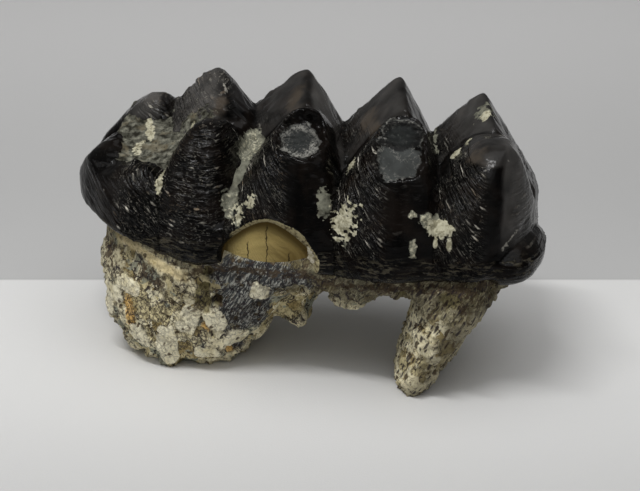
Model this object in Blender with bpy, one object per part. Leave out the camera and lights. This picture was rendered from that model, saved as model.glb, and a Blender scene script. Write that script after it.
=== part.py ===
"""A fossil mastodon molar: one tooth with four and a half pairs of cusps, standing on its roots.

The crown is a radial surface: rays fan out from a line along the inside of the crown, and each
stops where it leaves the field that the cusps, valleys, wear facets and lower lip describe.  The
roots are closed profiles carried down their own centre lines.  Remeshing fuses them into the one
solid that the tooth grew as, and the ground plane cuts the feet flat where it stands.

+X runs towards the front of the jaw (the end with the heel lobe), -Y is the cheek side with the
broken window, +Z is up.  The origin is the middle of the footprint, on the surface it stands on.
Lengths are millimetres until a mesh is made.
"""

import math

import bmesh
import bpy
import numpy as np
from mathutils import Vector, noise

MM = 0.001

# Crown: the outline at its widest, the height of that line and the pitch of the cusp pairs
LEFT_REACH = 92.0
RIGHT_REACH = 90.2
HALF_WIDTH = 45.0
WAIST_Z = 62.5
LOPH_PITCH = 35.5

# How finely the solid is described
RINGS = 190
SPOKES = 200
VOXEL = 1.0
TRIANGLES = 9200

# The line that the crown's rays start from
AXIS_Z = 72.0
AXIS_LEFT = -56.0
AXIS_RIGHT = 60.0
LONGEST_RAY = 70.0

# Cusps: tip, fall of the left and right flanks as (drop at 10 mm, power), slope of the inward crest,
# how far forward the crest drifts per millimetre towards the cheek, then how round the plan, the tip
# and the outer wall are
CUSPS = {
    "heel_far": dict(
        tip=(-65.3, 12, 100.2),
        left=(8.5, 1.16),
        right=(24, 2.4),
        inner=2.2,
        skew=0.1,
        plan=2.4,
        blunt=4.0,
        wall=2.0,
    ),
    "heel_rim": dict(
        tip=(-76, -4, 89.0),
        left=(11.0, 1.55),
        right=(14, 1.6),
        inner=0.2,
        skew=-0.1,
        plan=2.2,
        blunt=3.5,
        wall=2.2,
    ),
    "heel_near": dict(
        tip=(-61, -25, 86.0),
        left=(3.5, 1.7),
        right=(5, 2.2),
        inner=0.5,
        skew=0.0,
        plan=2.2,
        blunt=3.5,
        wall=2.1,
    ),
    "far_1": dict(
        tip=(-40, 18, 111.8),
        left=(9.9, 1.02),
        right=(12.3, 1.08),
        inner=0.5,
        skew=0.3,
        plan=1.6,
        blunt=3.0,
        wall=1.8,
    ),
    "far_2": dict(
        tip=(-4.5, 20, 113.4),
        left=(8.8, 1.03),
        right=(16, 1.08),
        inner=0.38,
        skew=0.22,
        plan=1.3,
        blunt=2.5,
        wall=1.7,
    ),
    "far_3": dict(
        tip=(33, 20, 112.4),
        left=(10, 1.05),
        right=(19, 1.03),
        inner=0.3,
        skew=0.25,
        plan=1.25,
        blunt=2.5,
        wall=1.7,
    ),
    "far_4": dict(
        tip=(66, 20, 108.3),
        left=(10.6, 1.0),
        right=(17.2, 0.92),
        inner=0.35,
        skew=0.27,
        plan=1.3,
        blunt=3.0,
        wall=1.7,
    ),
    "near_1": dict(
        tip=(-32, -18, 104.5),
        left=(9.0, 1.9),
        right=(24, 2.1),
        inner=0.9,
        skew=-0.13,
        plan=2.0,
        blunt=4.0,
        wall=1.9,
    ),
    "near_2": dict(
        tip=(2.5, -20, 111.5),
        left=(12, 1.15),
        right=(14, 2.8),
        inner=0.65,
        skew=0.12,
        plan=2.0,
        blunt=4.0,
        wall=1.8,
    ),
    "near_3": dict(
        tip=(39.5, -20, 111.5),
        left=(12.5, 1.15),
        right=(13, 2.4),
        inner=0.65,
        skew=0.12,
        plan=1.9,
        blunt=4.0,
        wall=1.8,
    ),
    "near_4": dict(
        tip=(74.5, -18, 104.0),
        left=(10.0, 1.25),
        right=(12.5, 1.9),
        inner=0.5,
        skew=0.19,
        plan=2.1,
        blunt=6.5,
        wall=1.9,
    ),
}

# Wear: a point on each worn flat, the direction that it faces and how far it reaches
FACETS = [
    ((2.5, -24, 100.3), (0.05, -0.55, 0.83), 8.0),
    ((40.2, -29, 97.5), (0.05, -0.63, 0.78), 8.2),
    ((40.5, -18, 104.0), (0.03, -0.40, 0.92), 8.5),
]

# The patch of the cheek wall that has lost its enamel: a half moon, and how steeply the enamel
# beside it slopes back at each x
WINDOW = dict(x=-7.3, half=17.0, top=72.4, bow=0.085, power=1.7, depth=5.5)
BEVEL = [(-24, 5.0), (-20, 2.0), (-16, 1.9), (-8, 2.2), (0, 1.7), (4, 1.3), (8, 1.2), (12, 1.6)]

# Height of the enamel's lower edge from the heel to the front
LIP_LINE = [
    (-94, 66),
    (-72, 62),
    (-60, 58),
    (-50, 52.5),
    (-42, 50),
    (-34, 50),
    (-26, 52),
    (-15, 53),
    (8, 53),
    (14, 50.5),
    (22, 49),
    (44, 50.5),
    (73, 53),
    (80, 54.5),
    (91, 57),
]


def smooth_max(values, blend):
    """Soft maximum: the logarithm of the sum of exponentials, over the blend length."""
    values = np.array(values)
    top = values.max(axis=0)
    return top + blend * np.log(np.exp((values - top) / blend).sum(axis=0))


def plan_fill(x, y):
    """The share of the outline used up lengthways, and in all: a superellipse, slimmer at the heel."""
    ends = np.where(x < 0, np.abs(x / LEFT_REACH) ** 3.2, np.abs(x / RIGHT_REACH) ** 7.0)
    swell = 1.5 * np.cos(2 * math.pi * (x - 3.5) / LOPH_PITCH)
    return ends, ends + np.abs(y / (HALF_WIDTH - 1.5 + swell)) ** 2.3


def cusp_height(x, y, tip, left, right, inner, skew, plan, blunt, wall):
    """Height over the ground: flanks along the tooth, a full wall outwards, a sloping crest inwards."""
    dx = x - tip[0] + skew * (y - tip[1])
    outward = (y - tip[1]) * np.sign(tip[1])
    before = left[0] * np.abs(dx / 10) ** left[1]
    beyond = right[0] * np.abs(dx / 10) ** right[1]
    along = np.where(dx < 0, before, beyond)
    run = HALF_WIDTH - abs(tip[1])
    outer = (tip[2] - WAIST_Z) * (np.abs(outward) / run) ** wall
    crest = inner * np.abs(outward) + 1.6 * np.maximum(np.abs(outward) - abs(tip[1]) - 2, 0)
    across = np.where(outward > 0, outer, crest)
    fall = (along**plan + across**plan) ** (1 / plan)
    return tip[2] - (np.hypot(fall, blunt) - blunt)


def basin_fill(x, y):
    """Height of the silt behind the first pair of cusps: a sheet that climbs inwards, cut at the rims."""
    sheet = 90.3 + 0.27 * y + 0.006 * (x + 70) ** 2 + 0.05 * np.maximum(-14 - y, 0)
    sheet = sheet - 1.5 * np.maximum(-76 - x, 0) - 2.0 * np.maximum(x + 33, 0)
    sheet = sheet - 5.0 * np.maximum(-38 - y, 0) - 2.0 * np.maximum(y - 19, 0)
    sheet = sheet - 4.0 * np.maximum(x + 45, 0) * np.clip((-16 - y) / 8, 0, 1)
    return sheet - 4.0 * np.maximum(-25 - y, 0) * np.clip((-54 - x) / 4, 0, 1)


def crown_field(x, y, z):
    """Positive inside the crown."""
    ends, fill = plan_fill(x, y)
    spare = np.clip(1 - fill, 0, 1)
    lumps = [cusp_height(x, y, **cusp) for cusp in CUSPS.values()]
    top = smooth_max(lumps + [70 + 8 * spare], 1.4)
    top = smooth_max([top, basin_fill(x, y)], 0.25)
    waist = WAIST_Z + 7.5 * np.clip((-58 - x) / 30, 0, 1)
    level = np.clip(1 - ends**1.6, 0, 1)
    shoulder = waist + np.where(x < 0, 51 * level**0.9, 62 * level**0.7)
    dome = waist + 80 * spare**0.6
    top = -smooth_max([-top, -dome, -shoulder], 1.0)
    stations = np.array(LIP_LINE, float)
    lip = np.interp(x, stations[:, 0], stations[:, 1])
    under = waist - (waist - lip) * spare**0.2
    field = np.minimum(top - z, z - under)
    for place, facing, reach in FACETS:
        way = np.array(facing) / np.linalg.norm(facing)
        rel = [x - place[0], y - place[1], z - place[2]]
        above = sum(part * share for part, share in zip(rel, way))
        away = np.sqrt(np.maximum(sum(part**2 for part in rel) - above**2, 0))
        field = np.minimum(field, -above + 1.3 * np.maximum(away - reach, 0))
    off = np.abs(x - WINDOW["x"])
    arch = 0.85 * (z - WINDOW["top"] + WINDOW["bow"] * off ** WINDOW["power"])
    edge = smooth_max([arch, off - WINDOW["half"]], 0.8)
    swollen = 0.006 * (x - WINDOW["x"]) ** 2 + 0.012 * (z - 58) ** 2
    slopes = np.array(BEVEL)
    bevel = np.interp(x, slopes[:, 0], slopes[:, 1]) * np.maximum(edge, 0)
    field = np.minimum(field, y + HALF_WIDTH - WINDOW["depth"] - swollen + bevel)
    off = np.sqrt(((x - 81) / 13.5) ** 2 + ((y + 13) / 24) ** 2 + ((z - 59.5) / 10.5) ** 2)
    lobe = 11 * (1 - off)
    return smooth_max([field, lobe], 0.6)


def crown_points(rings, spokes):
    """(rings, spokes, 3) where the rays leave the crown, found by halving the interval 20 times."""
    share = np.linspace(0, 1, rings)[:, None]
    cap = 0.24
    start_x = np.interp(share, [cap, 1 - cap], [AXIS_LEFT, AXIS_RIGHT])
    tilt = np.interp(share, [0, cap, 1 - cap, 1], [-math.pi / 2, 0, 0, math.pi / 2])
    turn = np.linspace(-math.pi, math.pi, spokes, endpoint=False)[None, :]
    parts = (np.sin(tilt), np.cos(tilt) * np.sin(turn), np.cos(tilt) * np.cos(turn))
    way = np.stack(np.broadcast_arrays(*parts), -1)
    near, far = np.zeros((rings, spokes)), np.full((rings, spokes), LONGEST_RAY)
    for _ in range(20):
        middle = (near + far) / 2
        at = way * middle[..., None]
        inside = crown_field(start_x + at[..., 0], at[..., 1], AXIS_Z + at[..., 2]) > 0
        near, far = np.where(inside, middle, near), np.where(inside, far, middle)
    at = way * near[..., None]
    at[..., 0] += start_x
    at[..., 2] += AXIS_Z
    return at


# Roots: each row is a height, the middle of the section, its half sizes, and how square it is
ROOTS = {
    "heel_root": [
        (-4, -47, 1, 18, 20, 2.3),
        (0, -47, 1, 22.5, 23, 2.3),
        (5, -48.5, 0, 26.3, 28, 2.4),
        (11, -47.5, 0, 30, 31.5, 2.5),
        (20, -46.3, 0, 34.6, 34, 2.7),
        (30, -42, 0, 40.0, 36, 2.8),
        (40, -37, 0, 45.2, 38, 2.8),
        (46, -35, 0, 47.5, 38.5, 2.7),
        (60, -32, 0, 48, 36, 2.4),
    ],
    "toe": [
        (-4, -51.5, -18, 4.5, 8, 2.6),
        (0, -51.5, -18, 5.0, 9, 2.6),
        (8, -51, -21, 5.2, 10, 2.6),
        (16, -50, -24, 4.6, 9, 2.4),
        (24, -49, -26, 3.0, 7, 2.2),
    ],
    "front_root": [
        (-4, 47.5, -6, 4, 21, 2.2),
        (0, 47.5, -6, 7, 24.5, 2.2),
        (6, 48.7, -6, 9.5, 27, 2.4),
        (15, 51.6, -5, 11.2, 29.5, 2.4),
        (26, 56.5, -4, 12.9, 32, 2.6),
        (38, 60.5, -3, 15.8, 35, 2.6),
        (50, 62, -2, 19, 38, 2.6),
        (60, 62, 0, 20, 34, 2.4),
    ],
    "stub": [
        (36, 22, -26, 4.5, 5, 2.2),
        (40, 23, -26, 8, 9, 2.4),
        (44, 25, -24, 11.5, 12, 2.4),
        (48, 27, -22, 17, 15, 2.4),
        (60, 27, -18, 19, 18, 2.4),
    ],
    "flap": [
        (14, -2, -5, 2.0, 4, 2.2),
        (17, -4, -4, 6.0, 7, 2.4),
        (22, -7, -2, 9.5, 11, 2.4),
        (30, -7, 0, 13, 16, 2.4),
        (46, -4, 0, 16, 22, 2.2),
    ],
    "neck": [
        (44, 3, 0, 75, 33, 3.4),
        (48, 3, 0, 81.5, 38, 3.4),
        (56, 3, 0, 82.5, 40, 3.4),
        (62, 4, 0, 80, 38, 3.4),
    ],
}


def root_points(rows, rings, spokes):
    """(rings, spokes, 3): superellipse sections whose sizes run smoothly between the rows."""
    rows = np.array(rows, float)
    at = np.linspace(rows[0, 0], rows[-1, 0], rings)
    columns = [np.interp(at, rows[:, 0], column)[:, None] for column in rows[:, 1:].T]
    middle_x, middle_y, half_x, half_y, square = columns
    turn = np.linspace(0, 2 * math.pi, spokes, endpoint=False)[None, :]
    c, s = np.cos(turn), np.sin(turn)
    reach = (np.abs(c) ** square + np.abs(s) ** square) ** (-1 / square)
    x = middle_x + half_x * reach * c
    y = middle_y + half_y * reach * s
    return np.stack([x, y, np.broadcast_to(at[:, None], x.shape)], -1)


def closed_grid(mesh, points):
    """Adds a grid that wraps across, with a fan at each end, as a closed outward-facing body."""
    rings, spokes, _ = points.shape
    verts = [[mesh.verts.new(p) for p in row] for row in points.tolist()]
    ends = [mesh.verts.new(points[k].mean(axis=0).tolist()) for k in (0, -1)]
    for i in range(rings - 1):
        for j in range(spokes):
            k = (j + 1) % spokes
            mesh.faces.new((verts[i][j], verts[i][k], verts[i + 1][k], verts[i + 1][j]))
    for j in range(spokes):
        k = (j + 1) % spokes
        mesh.faces.new((verts[0][k], verts[0][j], ends[0]))
        mesh.faces.new((verts[-1][j], verts[-1][k], ends[1]))


def ragged(co):
    """How far the surface stands out from the smooth shape: broken layers and flutes on the roots."""
    root = min(max((51 - co.z) / 6, 0), 1)
    lumps = noise.fractal(Vector((co.x / 11, co.y / 11, co.z / 16)), 0.9, 2.1, 3)
    flutes = noise.noise(Vector((co.x / 5, co.y / 5, co.z / 30 + 9)))
    return root * (2.0 * lumps + 1.0 * flutes)


def build_tooth():
    for old in list(bpy.data.objects):
        bpy.data.objects.remove(old)

    shape = bmesh.new()
    crown = crown_points(RINGS, SPOKES)
    # The first and last rings all sit on one point, so the fans start from the rings beside them
    closed_grid(shape, crown[1:-1])
    for rows in ROOTS.values():
        closed_grid(shape, root_points(rows, 40, 96))
    bmesh.ops.recalc_face_normals(shape, faces=shape.faces)
    bmesh.ops.scale(shape, vec=(MM, MM, MM), verts=shape.verts)
    mesh = bpy.data.meshes.new("tooth")
    shape.to_mesh(mesh)
    shape.free()
    tooth = bpy.data.objects.new("tooth", mesh)
    bpy.context.scene.collection.objects.link(tooth)

    fuse = tooth.modifiers.new("fuse", "REMESH")
    fuse.mode = "VOXEL"
    fuse.voxel_size = VOXEL * MM
    apply_modifiers(tooth)

    shape = bmesh.new()
    shape.from_mesh(tooth.data)
    shape.normal_update()
    for vert in shape.verts:
        vert.co += vert.normal * ragged(vert.co / MM) * MM
    keep_largest(shape)
    shape.to_mesh(tooth.data)
    shape.free()

    thin = tooth.modifiers.new("thin", "DECIMATE")
    thin.ratio = TRIANGLES / (2 * len(tooth.data.polygons))
    thin.use_collapse_triangulate = True
    apply_modifiers(tooth)

    shape = bmesh.new()
    shape.from_mesh(tooth.data)
    everything = shape.verts[:] + shape.edges[:] + shape.faces[:]
    down = (0, 0, -1)
    ground = dict(plane_co=(0, 0, 0), plane_no=down, clear_outer=True)
    cut = bmesh.ops.bisect_plane(shape, geom=everything, dist=1e-6, **ground)
    rim = [item for item in cut["geom_cut"] if isinstance(item, bmesh.types.BMEdge)]
    bmesh.ops.holes_fill(shape, edges=rim, sides=0)
    bmesh.ops.triangulate(shape, faces=[face for face in shape.faces if len(face.verts) > 3])
    bmesh.ops.recalc_face_normals(shape, faces=shape.faces)
    for face in shape.faces:
        face.smooth = True
    corners = np.array([vert.co for vert in shape.verts])
    middle = (corners.min(axis=0) + corners.max(axis=0)) / 2
    bmesh.ops.translate(shape, vec=(-middle[0], -middle[1], 0), verts=shape.verts)
    shape.to_mesh(tooth.data)
    shape.free()
    return tooth


def apply_modifiers(thing):
    graph = bpy.context.evaluated_depsgraph_get()
    result = bpy.data.meshes.new_from_object(thing.evaluated_get(graph))
    thing.modifiers.clear()
    thing.data = result


def keep_largest(shape):
    """Drops every loose island but the biggest, such as a void that the fusing sealed in."""
    left = set(shape.verts)
    islands = []
    while left:
        found, edge = set(), [left.pop()]
        while edge:
            vert = edge.pop()
            found.add(vert)
            for link in vert.link_edges:
                other = link.other_vert(vert)
                if other in left:
                    left.discard(other)
                    edge.append(other)
        islands.append(found)
    islands.sort(key=len)
    for island in islands[:-1]:
        bmesh.ops.delete(shape, geom=list(island), context="VERTS")


def coat(thing, name, colour, roughness):
    material = bpy.data.materials.new(name)
    material.use_nodes = True
    surface = material.node_tree.nodes["Principled BSDF"]
    surface.inputs["Base Color"].default_value = (*colour, 1)
    surface.inputs["Roughness"].default_value = roughness
    thing.data.materials.clear()
    thing.data.materials.append(material)


tooth = build_tooth()
coat(tooth, "fossil_enamel", (0.02, 0.017, 0.015), 0.35)
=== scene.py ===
import math
from types import SimpleNamespace

import bpy
import numpy as np
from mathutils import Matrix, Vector


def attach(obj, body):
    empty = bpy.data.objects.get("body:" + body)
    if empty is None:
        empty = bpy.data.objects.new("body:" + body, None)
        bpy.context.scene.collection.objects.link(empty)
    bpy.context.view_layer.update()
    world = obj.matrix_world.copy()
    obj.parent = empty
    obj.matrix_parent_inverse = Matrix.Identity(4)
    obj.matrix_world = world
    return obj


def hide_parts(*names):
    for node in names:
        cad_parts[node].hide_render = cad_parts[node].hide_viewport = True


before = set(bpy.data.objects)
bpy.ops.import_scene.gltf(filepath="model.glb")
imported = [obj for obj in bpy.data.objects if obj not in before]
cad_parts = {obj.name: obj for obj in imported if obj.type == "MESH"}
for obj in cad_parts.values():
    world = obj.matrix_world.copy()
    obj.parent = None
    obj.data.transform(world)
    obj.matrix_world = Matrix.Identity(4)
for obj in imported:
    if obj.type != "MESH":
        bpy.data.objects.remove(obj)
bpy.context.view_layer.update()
mm = 0.001
# the shape's own x runs 1.19 mm ahead of the part's frame, whose zero is the middle of the footprint
shift = np.array([1.19, 0.0, 0.0])


# noise and small numpy helpers; every length is in millimetres, and a point is three arrays x, y, z

wordMask = 0xFFFFFFFF
gradientHash = dict(factors=(374761393, 668265263, 2147483647), seedFactor=1274126177,
                    scramble=1274126177, shifts=(13, 16))
pointHash = dict(factors=(73856093, 19349663, 83492791), seedFactor=2654435761,
                 scramble=1103515245, shifts=(15, 14))


def cellKey(cell, seed, factors, seedFactor, scramble, shifts):
    # 32 scrambled bits for a lattice cell: its whole numbers times odd factors, folded twice
    key = (sum(c * factor for c, factor in zip(cell, factors)) + seed * seedFactor) & wordMask
    key = ((key ^ (key >> shifts[0])) * scramble) & wordMask
    return key ^ (key >> shifts[1])


def latticeNoise(x, y, z, seed):
    # gradient noise: every lattice corner has a random direction, and the dot products with it are
    # blended by a smooth ease, giving about -1 to 1
    x, y, z = np.broadcast_arrays(x, y, z)
    low = [np.floor(v) for v in (x, y, z)]
    away = [v - c for v, c in zip((x, y, z), low)]
    ease = [f ** 3 * (f * (f * 6 - 15) + 10) for f in away]
    total = 0.0
    for corner in range(8):
        step = [(corner >> axis) & 1 for axis in range(3)]
        cell = [(c + s).astype(np.int64) for c, s in zip(low, step)]
        key = cellKey(cell, seed, **gradientHash)
        dot, weight = 0.0, 1.0
        for axis in range(3):
            slope = ((key >> (axis * 10)) & 1023) / 511.5 - 1  # ten bits of the key, as -1 to 1
            dot = dot + slope * (away[axis] - step[axis])
            weight = weight * (ease[axis] if step[axis] else 1 - ease[axis])
        total = total + weight * dot
    return total * 1.5


def fractal(point, size, seed, octaves=3, gain=0.5):
    # octaves of lattice noise, the first with cells of the given size, or one size for each axis;
    # each next one is twice as fine and gain times as strong
    x, y, z = (v / s for v, s in zip(point, np.broadcast_to(size, 3)))
    total, finer, strength = 0.0, 1.0, 1.0
    for octave in range(octaves):
        total = total + strength * latticeNoise(x * finer, y * finer, z * finer, seed + octave)
        finer, strength = finer * 2.03, strength * gain
    return total


def bumps(point, height, size, seed, octaves):
    # relief of the given height
    return height * fractal(point, size, seed, octaves)


def cells(x, y, z, seed):
    # distance to the nearest of one jittered point per lattice cell, and that point's own number
    low = [np.floor(v).astype(np.int64) for v in (x, y, z)]
    best, own = np.full(np.shape(x), 9.0), np.zeros(np.shape(x))
    for neighbour in range(27):
        cell = [c + (neighbour // 3 ** axis) % 3 - 1 for axis, c in enumerate(low)]
        key = cellKey(cell, seed, **pointHash)
        gap = 0.0
        for axis, v in enumerate((x, y, z)):
            gap = gap + (cell[axis] + 0.15 + 0.7 * ((key >> (axis * 9)) & 511) / 511 - v) ** 2
        gap = np.sqrt(gap)
        own = np.where(gap < best, ((key >> 5) & 1023) / 1023, own)
        best = np.minimum(best, gap)
    return best, own


def rise(value, start, end):
    # smooth step from 0 at start to 1 at end
    share = np.clip((value - start) / (end - start), 0, 1)
    return share * share * (3 - 2 * share)


def past(value, start):
    # how far a value is beyond the start, or 0 before it
    return np.maximum(value - start, 0)


def readLine(stations, at):
    # straight lines between (place, value) stations, read at the given places
    stations = np.array(stations, float)
    return np.interp(at, stations[:, 0], stations[:, 1])


def smoothMax(values, blend):
    # soft maximum: the logarithm of the sum of exponentials, over the blend length
    values = np.array(values)
    top = values.max(axis=0)
    return top + blend * np.log(np.exp((values - top) / blend).sum(axis=0))


def blob(point, at, size):
    # signed: 1 in the middle of an ellipsoid, 0 on its surface, negative outside
    return 1 - np.sqrt(sum(((v - c) / r) ** 2 for v, c, r in zip(point, at, size)))


def slab(point, at, size, lean, square=3.5):
    # like blob but squarer, and leaning in the upright plane along the tooth
    x, y, z = (v - c for v, c in zip(point, at))
    along, up = x * math.cos(lean) - z * math.sin(lean), x * math.sin(lean) + z * math.cos(lean)
    spread = (np.abs(along) / size[0]) ** square + (np.abs(y) / size[1]) ** 2
    return 1 - (spread + (np.abs(up) / size[2]) ** square) ** 0.4


# the crown: enamel cusps, worn flats, broken window and the silt between them

crown = dict(
    leftReach=92.0, rightReach=90.2, halfWidth=45.0,  # the outline seen from above
    leftFull=3.2, rightFull=7.0, sideFull=2.3, swell=1.5, swellAt=3.5, pitch=35.5,
    waist=62.5, heelRise=7.5, heelAt=-58, heelRun=30,  # the widest line, which climbs at the heel
    core=70, coreRise=8, fuse=1.4, crestFall=1.6, crestSpan=2,  # how the cusps meet
    leftShoulder=(51, 0.9), rightShoulder=(62, 0.7), dome=(80, 0.6),  # height and power above the waist
    levelPower=1.6, underPower=0.2, topBlend=1.0, siltBlend=0.25, lobeBlend=0.6,
    axisZ=72.0, axisLeft=-56.0, axisRight=60.0, longestRay=70.0, capShare=0.24,  # where rays start
    crowding=[(1.1, -2.4, -1.9), (-0.55, 0.5, 1.0), (-0.5, 1.9, 2.4)],  # gain between two turns
    rings=288, spokes=342, halvings=20,
)

# tip, flanks as (fall at 10 mm, power), slope of the inward crest, drift of the crest, roundness of
# plan, tip and outer wall, then wrinkles: strength on the left flank, middle and right flank,
# how much the strands bend and how much they slant; then the tone, a grey painted sheen that stands
# in for reflected lamp light, on the left flank, middle and right flank, and the height above which
# the top is polished and takes the painted sheen too
cusps = {
    "heelFar": dict(tip=(-65.3, 12, 100.2), left=(8.5, 1.16), right=(24, 2.4), inner=2.2, skew=0.1,
                    plan=2.4, blunt=4.0, wall=2.0, wrinkle=(0.15, 0.5, 0.3, 0.02, 0.5),
                    tone=(0.066, 0.055, 0.004, 200)),
    "heelRim": dict(tip=(-76, -4, 89.0), left=(11.0, 1.55), right=(14, 1.6), inner=0.2, skew=-0.1,
                    plan=2.2, blunt=3.5, wall=2.2, wrinkle=(0.05, 0.2, 0.3, 0.0, 1.0),
                    tone=(0.001, 0.001, 0.001, 200)),
    "heelNear": dict(tip=(-61, -25, 86.0), left=(3.5, 1.7), right=(5, 2.2), inner=0.5, skew=0.0,
                     plan=2.2, blunt=3.5, wall=2.1, wrinkle=(0.2, 1.0, 1.0, 0.0, 1.0),
                     tone=(0.004, 0.001, 0.001, 200)),
    "far1": dict(tip=(-40, 18, 111.8), left=(9.9, 1.02), right=(12.3, 1.08), inner=0.5, skew=0.3,
                 plan=1.6, blunt=3.0, wall=1.8, wrinkle=(1.7, 0.9, 0.05, 0.02, 0.05),
                 tone=(0.050, 0.015, 0.002, 200)),
    "far2": dict(tip=(-4.5, 20, 113.4), left=(8.8, 1.03), right=(16, 1.08), inner=0.38, skew=0.22,
                 plan=1.3, blunt=2.5, wall=1.7, wrinkle=(0.55, 0.05, 0.45, 0.02, 0.1),
                 tone=(0.022, 0.008, 0.044, 200)),
    "far3": dict(tip=(33, 20, 112.4), left=(10, 1.05), right=(19, 1.03), inner=0.3, skew=0.25,
                 plan=1.25, blunt=2.5, wall=1.7, wrinkle=(0.6, 0.05, 0.35, 0.02, 0.1),
                 tone=(0.028, 0.008, 0.004, 200)),
    "far4": dict(tip=(66, 20, 108.3), left=(10.6, 1.0), right=(17.2, 0.92), inner=0.35, skew=0.27,
                 plan=1.3, blunt=3.0, wall=1.7, wrinkle=(0.5, 0.1, 0.35, 0.02, 0.1),
                 tone=(0.036, 0.010, 0.020, 200)),
    "near1": dict(tip=(-32, -18, 104.5), left=(9.0, 1.9), right=(24, 2.1), inner=0.9, skew=-0.13,
                  plan=2.0, blunt=4.0, wall=1.9, wrinkle=(0.7, 0.75, 0.4, 0.012, 0.0),
                  tone=(0.002, 0.001, 0.001, 200)),
    "near2": dict(tip=(2.5, -20, 111.5), left=(12, 1.15), right=(14, 2.8), inner=0.65, skew=0.12,
                  plan=2.0, blunt=4.0, wall=1.8, wrinkle=(1.0, 0.12, 0.1, 0.06, 0.0),
                  tone=(0.002, 0.0005, 0.001, 200)),
    "near3": dict(tip=(39.5, -20, 111.5), left=(12.5, 1.15), right=(13, 2.4), inner=0.65, skew=0.12,
                  plan=1.9, blunt=4.0, wall=1.8, wrinkle=(1.0, 0.14, 0.1, 0.055, 0.0),
                  tone=(0.002, 0.0005, 0.002, 200)),
    "near4": dict(tip=(74.5, -18, 104.0), left=(10.0, 1.25), right=(12.5, 1.9), inner=0.5, skew=0.19,
                  plan=2.1, blunt=6.0, wall=1.9, wrinkle=(1.0, 0.03, 0.22, 0.05, 0.0),
                  tone=(0.003, 0.0003, 0.034, 99)),
}

# worn flats: a point on each, the direction it faces, its reach, and how rough it is
flats = [
    dict(at=(2.5, -24, 100.3), facing=(0.05, -0.55, 0.83), reach=8.0, rough=1.0),
    dict(at=(40.2, -29, 97.5), facing=(0.05, -0.63, 0.78), reach=8.2, rough=0.35),
    dict(at=(39.5, -19, 103.6), facing=(0.03, -0.40, 0.92), reach=8.8, rough=0.85),
]
# how ragged a flat's outline is, how steeply it is banked, and how fast wear fades off its plane
wear = dict(ragged=(1.9, 5, 15, 3), bank=1.3, depth=1.6, blend=1.6, edge=(-0.5, 0.7))

# the half moon of cheek wall that has lost its enamel: its edge bows down with a power of the
# distance from its middle; cracks are (x, foot, head) and the bevel is (x, slope) stations
window = dict(x=-7.3, half=17.0, top=72.4, bow=0.085, power=1.7, depth=5.5, steep=0.85, blend=0.8,
              middleZ=58, swellX=0.006, swellZ=0.012, fanZ=48.0, fanReach=21.0,
              cracks=[(-14.6, 52, 64), (-7.2, 52, 71), (1.4, 53, 61)],
              bevel=[(-24, 5.0), (-20, 2.0), (-16, 1.9), (-8, 2.2), (0, 1.7), (4, 1.3), (8, 1.2), (12, 1.6)])

# the swollen lobe of enamel at the right end, and a flake of enamel beside the window
lobe = dict(at=(81, -13, 59.5), size=(13.5, 24, 10.5), scale=11)
flakePlace = dict(at=(9.5, -41, 60.5), size=(2.2, 4, 5.5))

# height of the enamel's lower edge on the cheek side, from one end to the other
lipLine = [(-94, 66), (-72, 62), (-60, 58), (-50, 52.5), (-42, 50), (-34, 50), (-26, 52), (-15, 53), (8, 53),
           (14, 50.5), (22, 49), (44, 50.5), (73, 53), (80, 54.5), (91, 57)]

# silt in the three valleys: where each runs, how deep it lies at (y, depth) stations
valleys = [
    dict(x=-22.0, reach=9, depth=[(-45, -3), (-38, 1.0), (-30, 3.6), (-14, 4.2), (-6, 2.2), (3, -0.6),
                                  (12, -2), (24, -1.5), (34, 1.0), (45, -2)]),
    dict(x=14.5, reach=9, depth=[(-45, -4), (-42, -2), (-38, -0.6), (-30, -1.5), (6, -2),
                                 (14, -1.5), (25, -1.2), (35, 1.4), (45, -2)]),
    dict(x=56.0, reach=9, depth=[(-45, -4), (-42, -2), (-37, 0.8), (-32, -1.0), (-8, -1.5),
                                 (6, -1.2), (14, -0.4), (24, -0.6), (34, 1.2), (45, -2)]),
]
# the troughs' ripples and fray, as height and two noises, then the dish across and the banks
trough = dict(ripple=(1.6, 6, 53, 3), fray=(2.2, 6, 57, 3), frayRun=(8, 16), dish=0.02, dishReach=10, bank=3)

# silt sheet in the basin of the heel: its level and slopes, then banks as the line where the sheet
# starts to fall or lift and how steeply; the last two fade in past a second line, over a run
basin = dict(level=90.3, climb=0.27, dish=0.006, middle=-70, nearLift=(14, 0.05), heelBank=(76, 1.5),
             cuspBank=(-33, 2.0), nearBank=(35, 5.0), farBank=(19, 2.0),
             cornerBank=(-45, 4.0, 16, 8), rimBank=(22, 4.0, 50, 3))

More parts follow.
